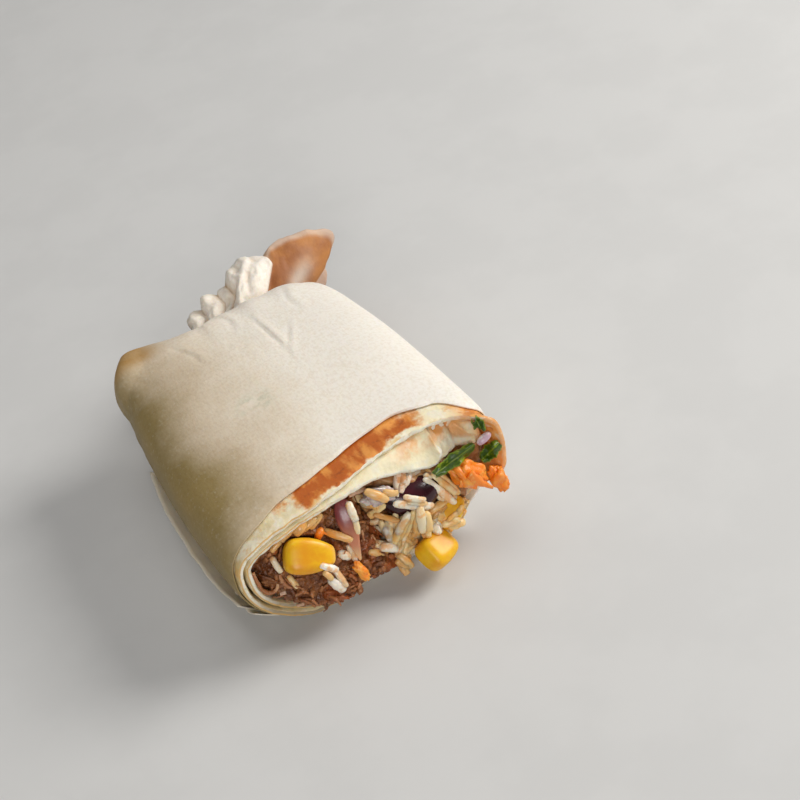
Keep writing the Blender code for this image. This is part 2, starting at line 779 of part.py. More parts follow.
def floorBlock():
    # Keeps the filling off the table
    outline = [(-60.0, -10.0), (60.0, -10.0), (60.0, 1.0), (-60.0, 1.0)]
    return meshObject("under", *loft([ringAt(outline, -30.0), ringAt(outline, 90.0)]))


def pockets():
    found = [makePiece(name, pocketGap) for name in pieces]
    return found + [makeLeaf(name, pocketGap) for name in leaves]


def buildHeap(name, beef, material, draw):
    core, face = heapCore(name, beef)
    bits = faceShreds(face, draw) if beef else faceGrains(face, riceCount, 3.4, draw, False)
    if beef:
        bits += [grain(*placed) for placed in riceOnBeef]
    else:
        bits += [grain(*placed) for placed in riceOnCut]
    combine(core, bits, "UNION", "MANIFOLD")
    for cutter in [partingBlock(beef), collar(), floorBlock()]:
        combine(core, [cutter], "DIFFERENCE", "MANIFOLD")
    combine(core, pockets(), "DIFFERENCE", "MANIFOLD")
    keepLargest(core)
    finishMesh(core, material)
    return core


def restOnOrigin():
    # Moves the whole so that the origin is under the middle of its bounding box
    bpy.context.view_layer.update()
    corners = [item.matrix_world @ Vector(corner) for item in bpy.data.objects for corner in item.bound_box]
    low = Vector([min(corner[axis] for corner in corners) for axis in range(3)])
    high = Vector([max(corner[axis] for corner in corners) for axis in range(3)])
    shift = Vector((-(low.x + high.x) / 2, -(low.y + high.y) / 2, -low.z))
    for item in bpy.data.objects:
        item.data.transform(Matrix.Translation(shift))


def main():
    removeEverything()
    looks = {
        "paper": makeMaterial("paper", (0.68, 0.53, 0.36), 0.62),
        "tortilla": makeMaterial("tortilla", (0.80, 0.62, 0.36), 0.6),
        "beef": makeMaterial("beef", (0.20, 0.075, 0.035), 0.5),
        "rice": makeMaterial("rice", (0.82, 0.68, 0.46), 0.4),
        "corn": makeMaterial("corn", (0.88, 0.48, 0.02), 0.28),
        "bean": makeMaterial("bean", (0.07, 0.008, 0.014), 0.18),
        "onion": makeMaterial("onion", (0.55, 0.26, 0.27), 0.35),
        "carrot": makeMaterial("carrot", (0.82, 0.22, 0.04), 0.38),
        "leaf": makeMaterial("leaf", (0.05, 0.16, 0.02), 0.4),
        "sauce": makeMaterial("sauce", (0.72, 0.67, 0.58), 0.35),
    }
    buildPaper(looks["paper"])
    buildTortilla(looks["tortilla"])
    buildHeap("pulled_beef", True, looks["beef"], random.Random(11))
    buildHeap("rice", False, looks["rice"], random.Random(23))
    for name in pieces:
        kind = name.split("_")[0] if name != "kidney_bean" else "bean"
        finishMesh(makePiece(name), looks[kind])
    for name in leaves:
        finishMesh(makeLeaf(name), looks["leaf"])
    restOnOrigin()


main()
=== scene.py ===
import math
import random

import bmesh
import bpy
from mathutils import Matrix, Vector, noise
from mathutils.bvhtree import BVHTree


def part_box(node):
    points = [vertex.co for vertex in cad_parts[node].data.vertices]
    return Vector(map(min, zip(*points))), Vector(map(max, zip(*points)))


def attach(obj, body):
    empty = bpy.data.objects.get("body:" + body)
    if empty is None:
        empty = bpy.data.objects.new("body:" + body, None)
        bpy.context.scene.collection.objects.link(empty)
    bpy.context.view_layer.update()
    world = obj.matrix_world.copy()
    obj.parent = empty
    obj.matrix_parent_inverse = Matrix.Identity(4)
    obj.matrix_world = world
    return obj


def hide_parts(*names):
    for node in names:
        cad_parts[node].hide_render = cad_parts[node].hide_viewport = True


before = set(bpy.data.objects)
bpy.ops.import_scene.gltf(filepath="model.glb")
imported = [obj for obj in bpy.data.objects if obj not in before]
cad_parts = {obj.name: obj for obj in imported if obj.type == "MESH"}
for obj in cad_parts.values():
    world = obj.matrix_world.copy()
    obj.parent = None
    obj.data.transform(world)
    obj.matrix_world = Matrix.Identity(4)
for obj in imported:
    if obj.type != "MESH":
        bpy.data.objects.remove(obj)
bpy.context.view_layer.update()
mm = 0.001


# The wrap's section in millimetres: the cut is at y 0, the tail lies behind it, the table is z 0

wrapShape = {
    "halfWidthRight": 34.6,
    "halfWidthLeft": 32.4,
    "sideHeight": 19.5,
    "topHeight": 32.3,
    "topRise": 1.9,
    "bodyLength": 77.4,
    "shoulderStart": 62.0,
    "innerLength": 68.0,
    "cornerPower": {"upperRight": 3.9, "upperLeft": 3.6, "lowerRight": 2.0, "lowerLeft": 2.0},
    "lowerReach": {"right": 21.5, "left": 23.0},
    "roundPoints": 56,
    "taperLength": 69.0,   # this far behind the cut, each side is narrower by its taper
    "taperLeft": 5.5,
    "taperRight": 3.0,
    "belly": 1.3,
    "bellyLength": 66.0,
    "topSetBack": 3.6,
    "paperBack": {"low": 1.2, "right": 1.4, "top": 4.9},   # how far behind the cut the paper ends
}


def smooth(value, low, high):
    share = min(max((value - low) / (high - low), 0.0), 1.0)
    return share * share * (3 - 2 * share)


def halfWidths(y):
    back = max(y, 0.0) / wrapShape["taperLength"]
    left = wrapShape["halfWidthLeft"] - wrapShape["taperLeft"] * back ** 2.5
    return left, wrapShape["halfWidthRight"] - wrapShape["taperRight"] * back ** 3


def endRounding(y):
    start = wrapShape["shoulderStart"]
    share = (y - start) / (wrapShape["bodyLength"] - start)
    return 1.0 if share <= 0 else max(1.0 - min(share, 1.0) ** 3, 0.0) ** (1 / 3)


def rawPoint(turn, y):
    left, right = halfWidths(y)
    side = "Right" if math.cos(turn) > 0 else "Left"
    corner = ("upper" if math.sin(turn) > 0 else "lower") + side
    power = 2.0 / wrapShape["cornerPower"][corner]
    close = endRounding(y)
    across = math.copysign(abs(math.cos(turn)) ** power, math.cos(turn))
    upward = abs(math.sin(turn)) ** power
    x = (right if side == "Right" else left) * across * (0.5 + 0.5 * close)
    middle = wrapShape["sideHeight"]
    if math.sin(turn) > 0:
        rise = wrapShape["topRise"] * (1 - 0.6 * y / wrapShape["bodyLength"]) * across
        length = wrapShape["bellyLength"]
        belly = wrapShape["belly"] * math.sin(math.pi * min(y, length) / length)
        return x, middle + (wrapShape["topHeight"] - middle + rise + belly) * upward * close
    return x, middle - wrapShape["lowerReach"][side.lower()] * upward * (0.45 + 0.55 * close)


def evenTurns(count):   # angles that space the section's points evenly, clockwise from the lower left
    fine = 1440
    turns = [math.radians(250) - 2 * math.pi * i / fine for i in range(fine + 1)]
    spots = [Vector(rawPoint(turn, 0.0)) for turn in turns]
    walked = [0.0]
    for a, b in zip(spots, spots[1:]):
        walked.append(walked[-1] + (b - a).length)
    found, place = [], 0
    for i in range(count):
        while walked[place + 1] < walked[-1] * i / count:
            place += 1
        found.append(turns[place])
    return found


def sectionPoint(turn, y, inset):
    x, z = rawPoint(turn, y)
    ahead, behind = rawPoint(turn - 0.012, y), rawPoint(turn + 0.012, y)
    tangent = Vector((ahead[0] - behind[0], ahead[1] - behind[1])).normalized()
    return x + tangent.y * inset, max(z - tangent.x * inset, inset)


def topSetBack(x, z):   # the top right of the wrap ends further back, so that the folded flap shows under it
    across = smooth(x, -14.0, 14.0) * (1 - smooth(x, 24.0, 31.0))
    return wrapShape["topSetBack"] * across * smooth(z, 27.0, 30.0)


def paperEdge(turn):
    x, z = rawPoint(turn, 0.0)
    back = wrapShape["paperBack"]
    top = smooth(z, wrapShape["sideHeight"], wrapShape["topHeight"] - 3)
    right = smooth(x, 10.0, wrapShape["halfWidthRight"])
    over = top * math.exp(-abs(x / 25.0) ** 4)
    return back["low"] + back["right"] * right + back["top"] * over + 1.1 * topSetBack(x, z)


rollTurns = evenTurns(wrapShape["roundPoints"])
tortillaDepth = 0.93   # the sheet's outer face below the paper's outer face
tortillaLow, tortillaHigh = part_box("tortilla")
widest = max(sectionPoint(turn, 0.0, tortillaDepth)[0] for turn in rollTurns)
rollPlace = Vector((tortillaHigh.x / mm - widest, tortillaLow.y / mm, 0.0))


# Mesh helpers

def faceOutward(mesh):
    work = bmesh.new()
    work.from_mesh(mesh)
    bmesh.ops.recalc_face_normals(work, faces=work.faces)
    work.to_mesh(mesh)
    work.free()


def meshPiece(name, points, faces, values=None):
    mesh = bpy.data.meshes.new(name)
    mesh.from_pydata([((Vector(point) + rollPlace) * mm)[:] for point in points], [], faces)
    for label, numbers in (values or {}).items():
        vector = isinstance(numbers[0], (tuple, list, Vector))
        layer = mesh.attributes.new(label, "FLOAT_VECTOR" if vector else "FLOAT", "POINT")
        flat = [part for number in numbers for part in number] if vector else numbers
        layer.data.foreach_set("vector" if vector else "value", flat)
    faceOutward(mesh)
    mesh.shade_smooth()
    item = bpy.data.objects.new(name, mesh)
    bpy.context.scene.collection.objects.link(item)
    return item


def ringFaces(ringCount, count):
    faces = []
    for k in range(ringCount - 1):
        for i in range(count):
            j = (i + 1) % count
            near, far = k * count, (k + 1) * count
            faces.append((near + i, near + j, far + j, far + i))
    return faces


def closedLoft(rings):   # a skin over rings, its two ends closed by fans
    count = len(rings[0])
    points = [point for ring in rings for point in ring]
    faces = ringFaces(len(rings), count)
    for k in (0, len(rings) - 1):
        points.append(tuple(sum((Vector(point) for point in rings[k]), Vector()) / count))
        for i in range(count):
            faces.append((k * count + i, k * count + (i + 1) % count, len(points) - 1))
    return points, faces


def slabFaces(columns, rows):   # a thin slab: a grid of points in front, the same grid behind it
    across = rows + 1
    offset = (columns + 1) * across
    faces = []
    for i in range(columns):
        for j in range(rows):
            a, b = i * across + j, (i + 1) * across + j
            faces += [(a, b, b + 1, a + 1), (offset + a, offset + a + 1, offset + b + 1, offset + b)]
    border = [i * across for i in range(columns + 1)]
    border += [columns * across + j for j in range(1, rows + 1)]
    border += [i * across + rows for i in range(columns - 1, -1, -1)]
    border += [j for j in range(rows - 1, 0, -1)]
    for a, b in zip(border, border[1:] + border[:1]):
        faces.append((a, b, offset + b, offset + a))
    return faces


def curvePoint(before, a, b, after, share):   # a point of the smooth curve through a and b
    two = Vector(b) - Vector(before)
    three = 2 * Vector(before) - 5 * Vector(a) + 4 * Vector(b) - Vector(after)
    four = 3 * Vector(a) - Vector(before) - 3 * Vector(b) + Vector(after)
    return Vector(a) + 0.5 * share * (two + share * (three + share * four))


def finer(points, times):
    found = []
    last = len(points) - 1
    for i in range(last):
        before, after = points[max(i - 1, 0)], points[min(i + 2, last)]
        found += [curvePoint(before, points[i], points[i + 1], after, k / times) for k in range(times)]
    return found + [Vector(points[last])]


foldsLie = ((0.9, 0.3, 0.3), (-0.5, 0.8, 0.3), (0.2, -0.4, 0.9), (0.6, 0.6, -0.5), (-0.8, 0.1, 0.6))


def facets(spot, size):   # flat facets with sharp folds between them, like crumpled paper, about -0.5 to 0.5
    total = 0.0
    for k, lie in enumerate(foldsLie):
        bend = 0.9 * noise.noise(spot * 0.4 / size + Vector((k, 0, 0)))
        place = spot.dot(Vector(lie)) / (size * (0.8 + 0.13 * k)) + bend
        total += abs(place % 2 - 1) - 0.5
    return total / (0.5 * len(foldsLie))


def ridged(x, y, z):   # creased noise, 0 in the creases and up to 1 between them
    return min(abs(noise.noise(Vector((x, y, z)))) * 2.0, 1.0)


def ready(item, node, material):
    item.data.materials.clear()
    item.data.materials.append(material)
    if node:
        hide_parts(*([node] if isinstance(node, str) else node))
    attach(item, "root")
    return item


# Shader helpers

def addNode(tree, kind, **settings):
    node = tree.nodes.new(kind)
    for name, value in settings.items():
        if hasattr(node, name):
            setattr(node, name, value)
        else:
            node.inputs[name.replace("_", " ")].default_value = value
    return node


def feed(tree, target, value):
    if isinstance(value, bpy.types.NodeSocket):
        tree.links.new(value, target)
    else:
        target.default_value = value


def mathStep(tree, operation, first, second=0.0, clamp=False):
    node = addNode(tree, "ShaderNodeMath", operation=operation, use_clamp=clamp)
    feed(tree, node.inputs[0], first)
    feed(tree, node.inputs[1], second)
    return node.outputs[0]


def times(tree, first, second):
    return mathStep(tree, "MULTIPLY", first, second)


def rampMask(tree, value, low, high, toLow=0.0, toHigh=1.0):
    node = addNode(tree, "ShaderNodeMapRange", interpolation_type="SMOOTHSTEP")
    feed(tree, node.inputs["Value"], value)
    for name, number in (("From Min", low), ("From Max", high), ("To Min", toLow), ("To Max", toHigh)):
        node.inputs[name].default_value = number
    return node.outputs["Result"]


def blend(tree, share, first, second, way="MIX"):
    node = addNode(tree, "ShaderNodeMix", data_type="RGBA", blend_type=way)
    feed(tree, node.inputs["Factor"], share)
    for socket, value in ((node.inputs[6], first), (node.inputs[7], second)):
        feed(tree, socket, value if isinstance(value, bpy.types.NodeSocket) else (*value, 1.0))
    return node.outputs[2]


def attribute(tree, name, output="Fac"):
    node = addNode(tree, "ShaderNodeAttribute", attribute_name=name)
    return node.outputs[output]


def partOf(tree, vector, which):
    parts = addNode(tree, "ShaderNodeSeparateXYZ")
    tree.links.new(vector, parts.inputs[0])
    return parts.outputs[which]


def axis(tree, which):
    return partOf(tree, addNode(tree, "ShaderNodeTexCoord").outputs["Object"], which)


def localPart(tree, which):   # place along, across or out of one loose piece
    return partOf(tree, attribute(tree, "local", "Vector"), which)


def colourAlong(tree, value, low, high, stops):   # colours by place, from the first stop at low to the last
    share = addNode(tree, "ShaderNodeMapRange", interpolation_type="LINEAR")
    feed(tree, share.inputs["Value"], value)
    share.inputs["From Min"].default_value, share.inputs["From Max"].default_value = low, high
    ramp = addNode(tree, "ShaderNodeValToRGB")
    first, last = stops[0][0], stops[-1][0]
    while len(ramp.color_ramp.elements) < len(stops):
        ramp.color_ramp.elements.new(0.5)
    for element, (place, colour) in zip(ramp.color_ramp.elements, stops):
        element.position = (place - first) / (last - first)
        element.color = (*colour, 1.0)
    tree.links.new(share.outputs["Result"], ramp.inputs["Fac"])
    return ramp.outputs["Color"]


def nearSpot(tree, spot, far, close):   # 1 at a place of the wrap, 0 further off than far
    place = addNode(tree, "ShaderNodeTexCoord")
    gap = addNode(tree, "ShaderNodeVectorMath", operation="DISTANCE")
    tree.links.new(place.outputs["Object"], gap.inputs[0])
    gap.inputs[1].default_value = ((Vector(spot) + rollPlace) * mm)[:]
    return rampMask(tree, gap.outputs["Value"], far, close)


def newGroup(name, inputs, outputs):
    tree = bpy.data.node_groups.new(name, "ShaderNodeTree")
    for label, value in inputs:
        socket = tree.interface.new_socket(name=label, in_out="INPUT", socket_type="NodeSocketFloat")
        socket.default_value = value
    for label in outputs:
        tree.interface.new_socket(name=label, in_out="OUTPUT", socket_type="NodeSocketFloat")
    return tree, tree.nodes.new("NodeGroupInput"), tree.nodes.new("NodeGroupOutput")


def makeMottle():   # soft patches
    tree, given, result = newGroup("mottle", (("Scale", 200.0), ("Low", 0.4), ("High", 0.6), ("Shift", 0.0)),
                                   ("Mask",))
    place = addNode(tree, "ShaderNodeTexCoord")
    shift = addNode(tree, "ShaderNodeVectorMath", operation="ADD")
    tree.links.new(place.outputs["Object"], shift.inputs[0])
    tree.links.new(given.outputs["Shift"], shift.inputs[1])
    cloud = addNode(tree, "ShaderNodeTexNoise", Detail=4.0, Roughness=0.6)
    tree.links.new(shift.outputs[0], cloud.inputs["Vector"])
    tree.links.new(given.outputs["Scale"], cloud.inputs["Scale"])
    spread = addNode(tree, "ShaderNodeMapRange", interpolation_type="SMOOTHSTEP")
    tree.links.new(cloud.outputs["Fac"], spread.inputs["Value"])
    tree.links.new(given.outputs["Low"], spread.inputs["From Min"])
    tree.links.new(given.outputs["High"], spread.inputs["From Max"])
    tree.links.new(spread.outputs["Result"], result.inputs["Mask"])
    return tree


def makePores():   # fine relief: small dents between raised threads
    tree, given, result = newGroup("pores", (("Scale", 900.0), ("Stretch", 1.0)), ("Height",))
    place = addNode(tree, "ShaderNodeTexCoord")
    stretch = addNode(tree, "ShaderNodeVectorMath", operation="MULTIPLY")
    sides = addNode(tree, "ShaderNodeCombineXYZ", X=1.0, Z=1.0)
    tree.links.new(given.outputs["Stretch"], sides.inputs["Y"])
    tree.links.new(place.outputs["Object"], stretch.inputs[0])
    tree.links.new(sides.outputs[0], stretch.inputs[1])
    cloud = addNode(tree, "ShaderNodeTexNoise", Detail=5.0, Roughness=0.65)
    cells = addNode(tree, "ShaderNodeTexVoronoi", feature="F1")
    for node in (cloud, cells):
        tree.links.new(stretch.outputs[0], node.inputs["Vector"])
        tree.links.new(given.outputs["Scale"], node.inputs["Scale"])
    both = mathStep(tree, "ADD", cloud.outputs["Fac"], times(tree, cells.outputs["Distance"], 0.6))
    tree.links.new(both, result.inputs["Height"])
    return tree


mottleGroup, poresGroup = makeMottle(), makePores()


def mottle(tree, scale, low=0.4, high=0.6, shift=0.0):
    node = addNode(tree, "ShaderNodeGroup", node_tree=mottleGroup)
    for name, value in (("Scale", scale), ("Low", low), ("High", high), ("Shift", shift)):
        node.inputs[name].default_value = value
    return node.outputs["Mask"]


def pores(tree, scale, stretch):
    node = addNode(tree, "ShaderNodeGroup", node_tree=poresGroup)
    node.inputs["Scale"].default_value, node.inputs["Stretch"].default_value = scale, stretch
    return node.outputs["Height"]


def newLook(name, settings):
    material = bpy.data.materials.new(name)
    material.use_nodes = True
    tree = material.node_tree
    shader = tree.nodes["Principled BSDF"]
    for label, value in settings.items():
        shader.inputs[label].default_value = value
    return material, tree, shader


def relief(tree, shader, scale, distance, strength, stretch=1.0):   # pores that roughen the whole surface
    height = pores(tree, scale, stretch)
    bump = addNode(tree, "ShaderNodeBump", Strength=strength, Distance=distance)
    tree.links.new(height, bump.inputs["Height"])
    tree.links.new(bump.outputs["Normal"], shader.inputs["Normal"])


# The paper: a sleeve round the roll, gathered into a tail behind it

paperShape = {
    "around": 288,
    "rowGap": 0.9,
    "backRowGap": 0.55,
    "wall": 0.3,
    "edgeHug": 0.42,
    "edgeWave": 0.25,
    "softWaves": 0.3,
    "pleats": 0.7,
    "creases": (   # each: its line over the top seen from above, half width, depth
        (((7.7, 66.0), (8.1, 58.4), (8.1, 53.3), (8.3, 49.7), (7.4, 45.6)), 0.8, 0.34),
        (((14.5, 57.2), (11.6, 51.4), (8.8, 46.7), (7.4, 42.0)), 0.7, 0.26),
        (((-2.4, 61.4), (-0.6, 55.7), (1.7, 52.5), (1.6, 47.0)), 0.6, 0.26),
        (((-12.0, 70.0), (-9.0, 62.0), (-8.6, 57.0)), 1.0, 0.2),
        (((2.0, 74.0), (3.4, 68.0), (3.0, 63.0)), 1.0, 0.24),
        (((20.0, 72.0), (18.0, 65.0), (18.4, 58.0)), 1.1, 0.2),
    ),
    "sideLines": ((6.0, 0.012), (8.2, 0.02), (10.1, 0.03), (11.6, 0.045), (14.0, 0.05)),   # height, slope
    "cornerPush": ((-24.5, 70.5, 27.0), (5.0, 4.5, 6.0), 1.7),   # far left corner: where, spread, height
    "endMiddle": (5.0, 77.3, 12.0),
}
paperLook = {   # colours across the top from the left side to the right, with the place in millimetres; the dark olive left end is painted shade of the side turned from the light
    "across": ((-34.0, (0.37, 0.26, 0.09)), (-28.0, (0.33, 0.24, 0.092)), (-16.5, (0.64, 0.52, 0.37)),
               (-6.0, (0.83, 0.725, 0.585)), (2.5, (0.93, 0.85, 0.735)), (20.0, (0.93, 0.86, 0.765)),
               (34.0, (0.93, 0.87, 0.78))),
    "drift": 0.012,
    "speck": (0.80, 0.72, 0.62),
    "light": (0.97, 0.93, 0.86),
    # A dark golden brown: painted shade in the tail's valleys, creases and hollow and where the tail begins,
    # and the darker far left corner.
    "oily": (0.43, 0.215, 0.028),
    # Pale paper colour laid back on as painted light: the flap's whitish highlight patch, its rim and the
    # tail's rolled rims, and the free strips against the painted shade of the left side.
    "fresh": (0.90, 0.84, 0.73),
    # The standing flap's dark orange-brown: partly oil-soaked, translucent paper, partly painted shade on its
    # face turned from the light.
    "soakedAndShaded": (0.31, 0.088, 0.004),
    "soakedAndShadedLight": (0.46, 0.165, 0.018),
    "shown": ((-6.1, 34.8, 33.4), (0.80, 0.86, 0.82)),   # something green shows through here
}


def nearLine(x, y, line):   # distance to either side of a bent line, and how far along the line that is
    best, where = 1e9, 0.0
    spot = Vector((x, y))
    for k, (a, b) in enumerate(zip(line, line[1:])):
        a, b = Vector(a), Vector(b)
        share = min(max((spot - a).dot(b - a) / (b - a).length_squared, 0.0), 1.0)
        off = spot - a.lerp(b, share)
        if off.length < abs(best):
            best = math.copysign(off.length, (b - a).x * off.y - (b - a).y * off.x)
            where = (k + share) / (len(line) - 1)
    return best, where


def paperRelief(x, y, z):
    value = 0.0
    top = smooth(z, 20.0, 28.0)
    if top > 0:
        for line, width, depth in paperShape["creases"]:
            off, where = nearLine(x, y, line)
            if abs(off) < 5 * width:
                fade = math.sin(math.pi * min(max(where, 0.0), 1.0)) ** 0.6
                valley = -math.exp(-(off / (0.55 * width)) ** 2)
                fold = 0.75 * math.exp(-((off - 1.5 * width) / width) ** 2)
                value += top * depth * fade * (valley + fold)
    left = smooth(-x, 20.0, 28.0) * smooth(y, 4.0, 12.0) * (1 - smooth(y, 60.0, 68.0))
    if left > 0:
        for height, slope in paperShape["sideLines"]:
            off = z - height - slope * y - 0.5 * math.sin(y * 0.09 + height)
            value += left * 0.2 * math.exp(-(off / 0.55) ** 2)
    wave = noise.noise(Vector((x * 0.055, y * 0.05, z * 0.09 + 3.0)))
    value += paperShape["softWaves"] * wave * smooth(y, 2.0, 12.0)
    back = smooth(y, 60.0, 74.0)
    if back > 0:
        lean = math.atan2(z - 13.0, x - 9.0)
        pleat = noise.noise(Vector((math.cos(lean) * 2.6, math.sin(lean) * 2.6, 5.0 + y * 0.015)))
        value += paperShape["pleats"] * back * (abs(pleat) * 2.4 - 0.5)
    (cx, cy, cz), (sx, sy, sz), push = paperShape["cornerPush"]
    value += push * math.exp(-((x - cx) / sx) ** 2 - ((y - cy) / sy) ** 2 - ((z - cz) / sz) ** 2)
    corner = smooth(-x, 14.0, 26.0) * smooth(y, 54.0, 64.0)
    value += corner * 0.5 * (ridged(x * 0.11, y * 0.13, z * 0.16) - 0.3)
    return value


def cornerShare(turn):   # 1 along the upper left of the section, where the far corner is folded sharp
    return math.exp(-((math.degrees(turn) % 360 - 132) / 24) ** 2)


def paperRing(turns, y, inset, edge, raised):
    ring = []
    for turn in turns:
        sharp = cornerShare(turn)
        start = paperEdge(turn) if edge else 0.0
        if edge:
            x, z = rawPoint(turn, 0.0)
            start += paperShape["edgeWave"] * noise.noise(Vector((x * 0.16, 2.0, z * 0.16))) * 2
        at = y + start * max(1 - y / 10.0, 0.0)
        if raised:
            full = at - 6.0 * sharp * smooth(at, 60.0, 73.0)
            x, z = sectionPoint(turn, full, 0.0)
            x, z = sectionPoint(turn, full, inset - max(paperRelief(x, at, z), -0.3))
            at += 1.6 * sharp * smooth(at, 66.0, 77.0)
        else:
            x, z = sectionPoint(turn, at, inset)
        ring.append((x, at, max(z, 0.0)))
    return ring


def rowPlaces():
    rows = [0.0, 0.3, 0.7, 1.2, 1.9, 2.8, 4.0, 5.4, 7.0, 8.5, 10.0]
    while rows[-1] < wrapShape["shoulderStart"] - 2:
        rows.append(rows[-1] + paperShape["rowGap"])
    while rows[-1] < 77.0:
        rows.append(rows[-1] + paperShape["backRowGap"] * (0.45 if rows[-1] > 75.5 else 1.0))
    return rows


def makeSleeve():
    turns = evenTurns(paperShape["around"])
    outside = []
    for y in rowPlaces():
        hug = paperShape["edgeHug"] * (1 - smooth(y, 0.0, 3.4))
        outside.append(paperRing(turns, y, hug, True, True))
    middle = Vector(paperShape["endMiddle"])
    for shrink in (0.8, 0.5, 0.2):
        outside.append([tuple(middle + (Vector(point) - middle) * shrink) for point in outside[-1]])
    inside = []
    for y in (0.0, 0.6, 1.5, 3.0, 6.0, 10.0, 20.0, 32.0, 44.0, 56.0, wrapShape["innerLength"]):
        inset = 0.62 + 0.1 * (1 - smooth(y, 0.0, 3.0))
        inside.append(paperRing(turns, y, inset, True, False))
    return closedLoft(outside[::-1] + inside)


tailShape = {   # the gathered end: rounded puffs of paper, and one wide flap standing up on the right
    "around": 440,
    "steps": 40,
    "rollSteps": 12,
    "hollowSteps": 16,
    "hollowFolds": 1.5,
    "startY": 73.0,
    "startCentre": (8.0, 12.5),
    "centre": (16.0, 14.5),
    "base": 9.5,
    "rimBase": 82.0,
    "lobes": (   # degrees, half spread, reach, rim's place, rim's half thickness, how flat the lobe is
        (41, 32, 25.4, 89.5, 0.45, 1.0),
        (80, 36, 17.6, 87.0, 4.2, 0.0),
        (117, 17, 14.2, 86.5, 2.6, 0.0),
        (135, 14, 17.0, 87.0, 2.3, 0.0),
        (153, 13, 19.6, 87.0, 2.2, 0.0),
        (170, 17, 18.0, 88.0, 1.5, 0.0),
        (203, 20, 16.4, 90.0, 1.3, 0.0),
        (236, 19, 14.2, 89.0, 1.5, 0.0),
        (268, 18, 13.2, 91.0, 1.2, 0.0),
        (300, 19, 15.6, 90.0, 1.4, 0.0),
        (333, 20, 20.4, 92.0, 1.0, 0.3),
        (4, 20, 23.5, 92.0, 0.6, 0.7),
    ),
    "crumple": 1.5,
    "fineCrumple": 0.55,
}


def lobesAt(turn):   # reach, rim place, rim half thickness, flatness and valley at one angle of the tail
    degree = math.degrees(turn) % 360
    found = []
    for at, spread, reach, rim, thick, flat in tailShape["lobes"]:
        off = (degree - at + 180) % 360 - 180
        share = min(abs(off) / spread, 1.0)
        rounded = (1 - share ** 2) ** 0.5 * (1 - flat) + (1 - share ** 5) * flat
        wide = reach * (0.97 - 0.4 * off / spread) if flat > 0.8 else reach   # the flap grows to the right
        found.append((tailShape["base"] + (wide - tailShape["base"]) * rounded, rounded, rim, thick, flat))
    most = max(entry[0] for entry in found)
    weights = [math.exp((entry[0] - most) / 0.6) for entry in found]
    total = sum(weights)
    share = [weight / total for weight in weights]
    rim = sum(w * (tailShape["rimBase"] + (entry[2] - tailShape["rimBase"]) * entry[1] ** 0.5)
              for w, entry in zip(share, found))
    thick = sum(w * (0.35 + (entry[3] - 0.35) * entry[1]) for w, entry in zip(share, found))
    flat = sum(w * entry[4] for w, entry in zip(share, found))
    return most, rim, thick, flat, min(2.2 * (1 - max(share)), 1.0)


def tailSpot(turn, share, reach, y):
    towards = Vector((math.cos(turn), math.sin(turn)))
    part = min(share / 0.75, 1.0)
    (ax, az), (bx, bz) = tailShape["startCentre"], tailShape["centre"]
    x, z = ax + (bx - ax) * part + reach * towards.x, az + (bz - az) * part + reach * towards.y
    return x, y, max(z, 0.3 + 0.5 * share)


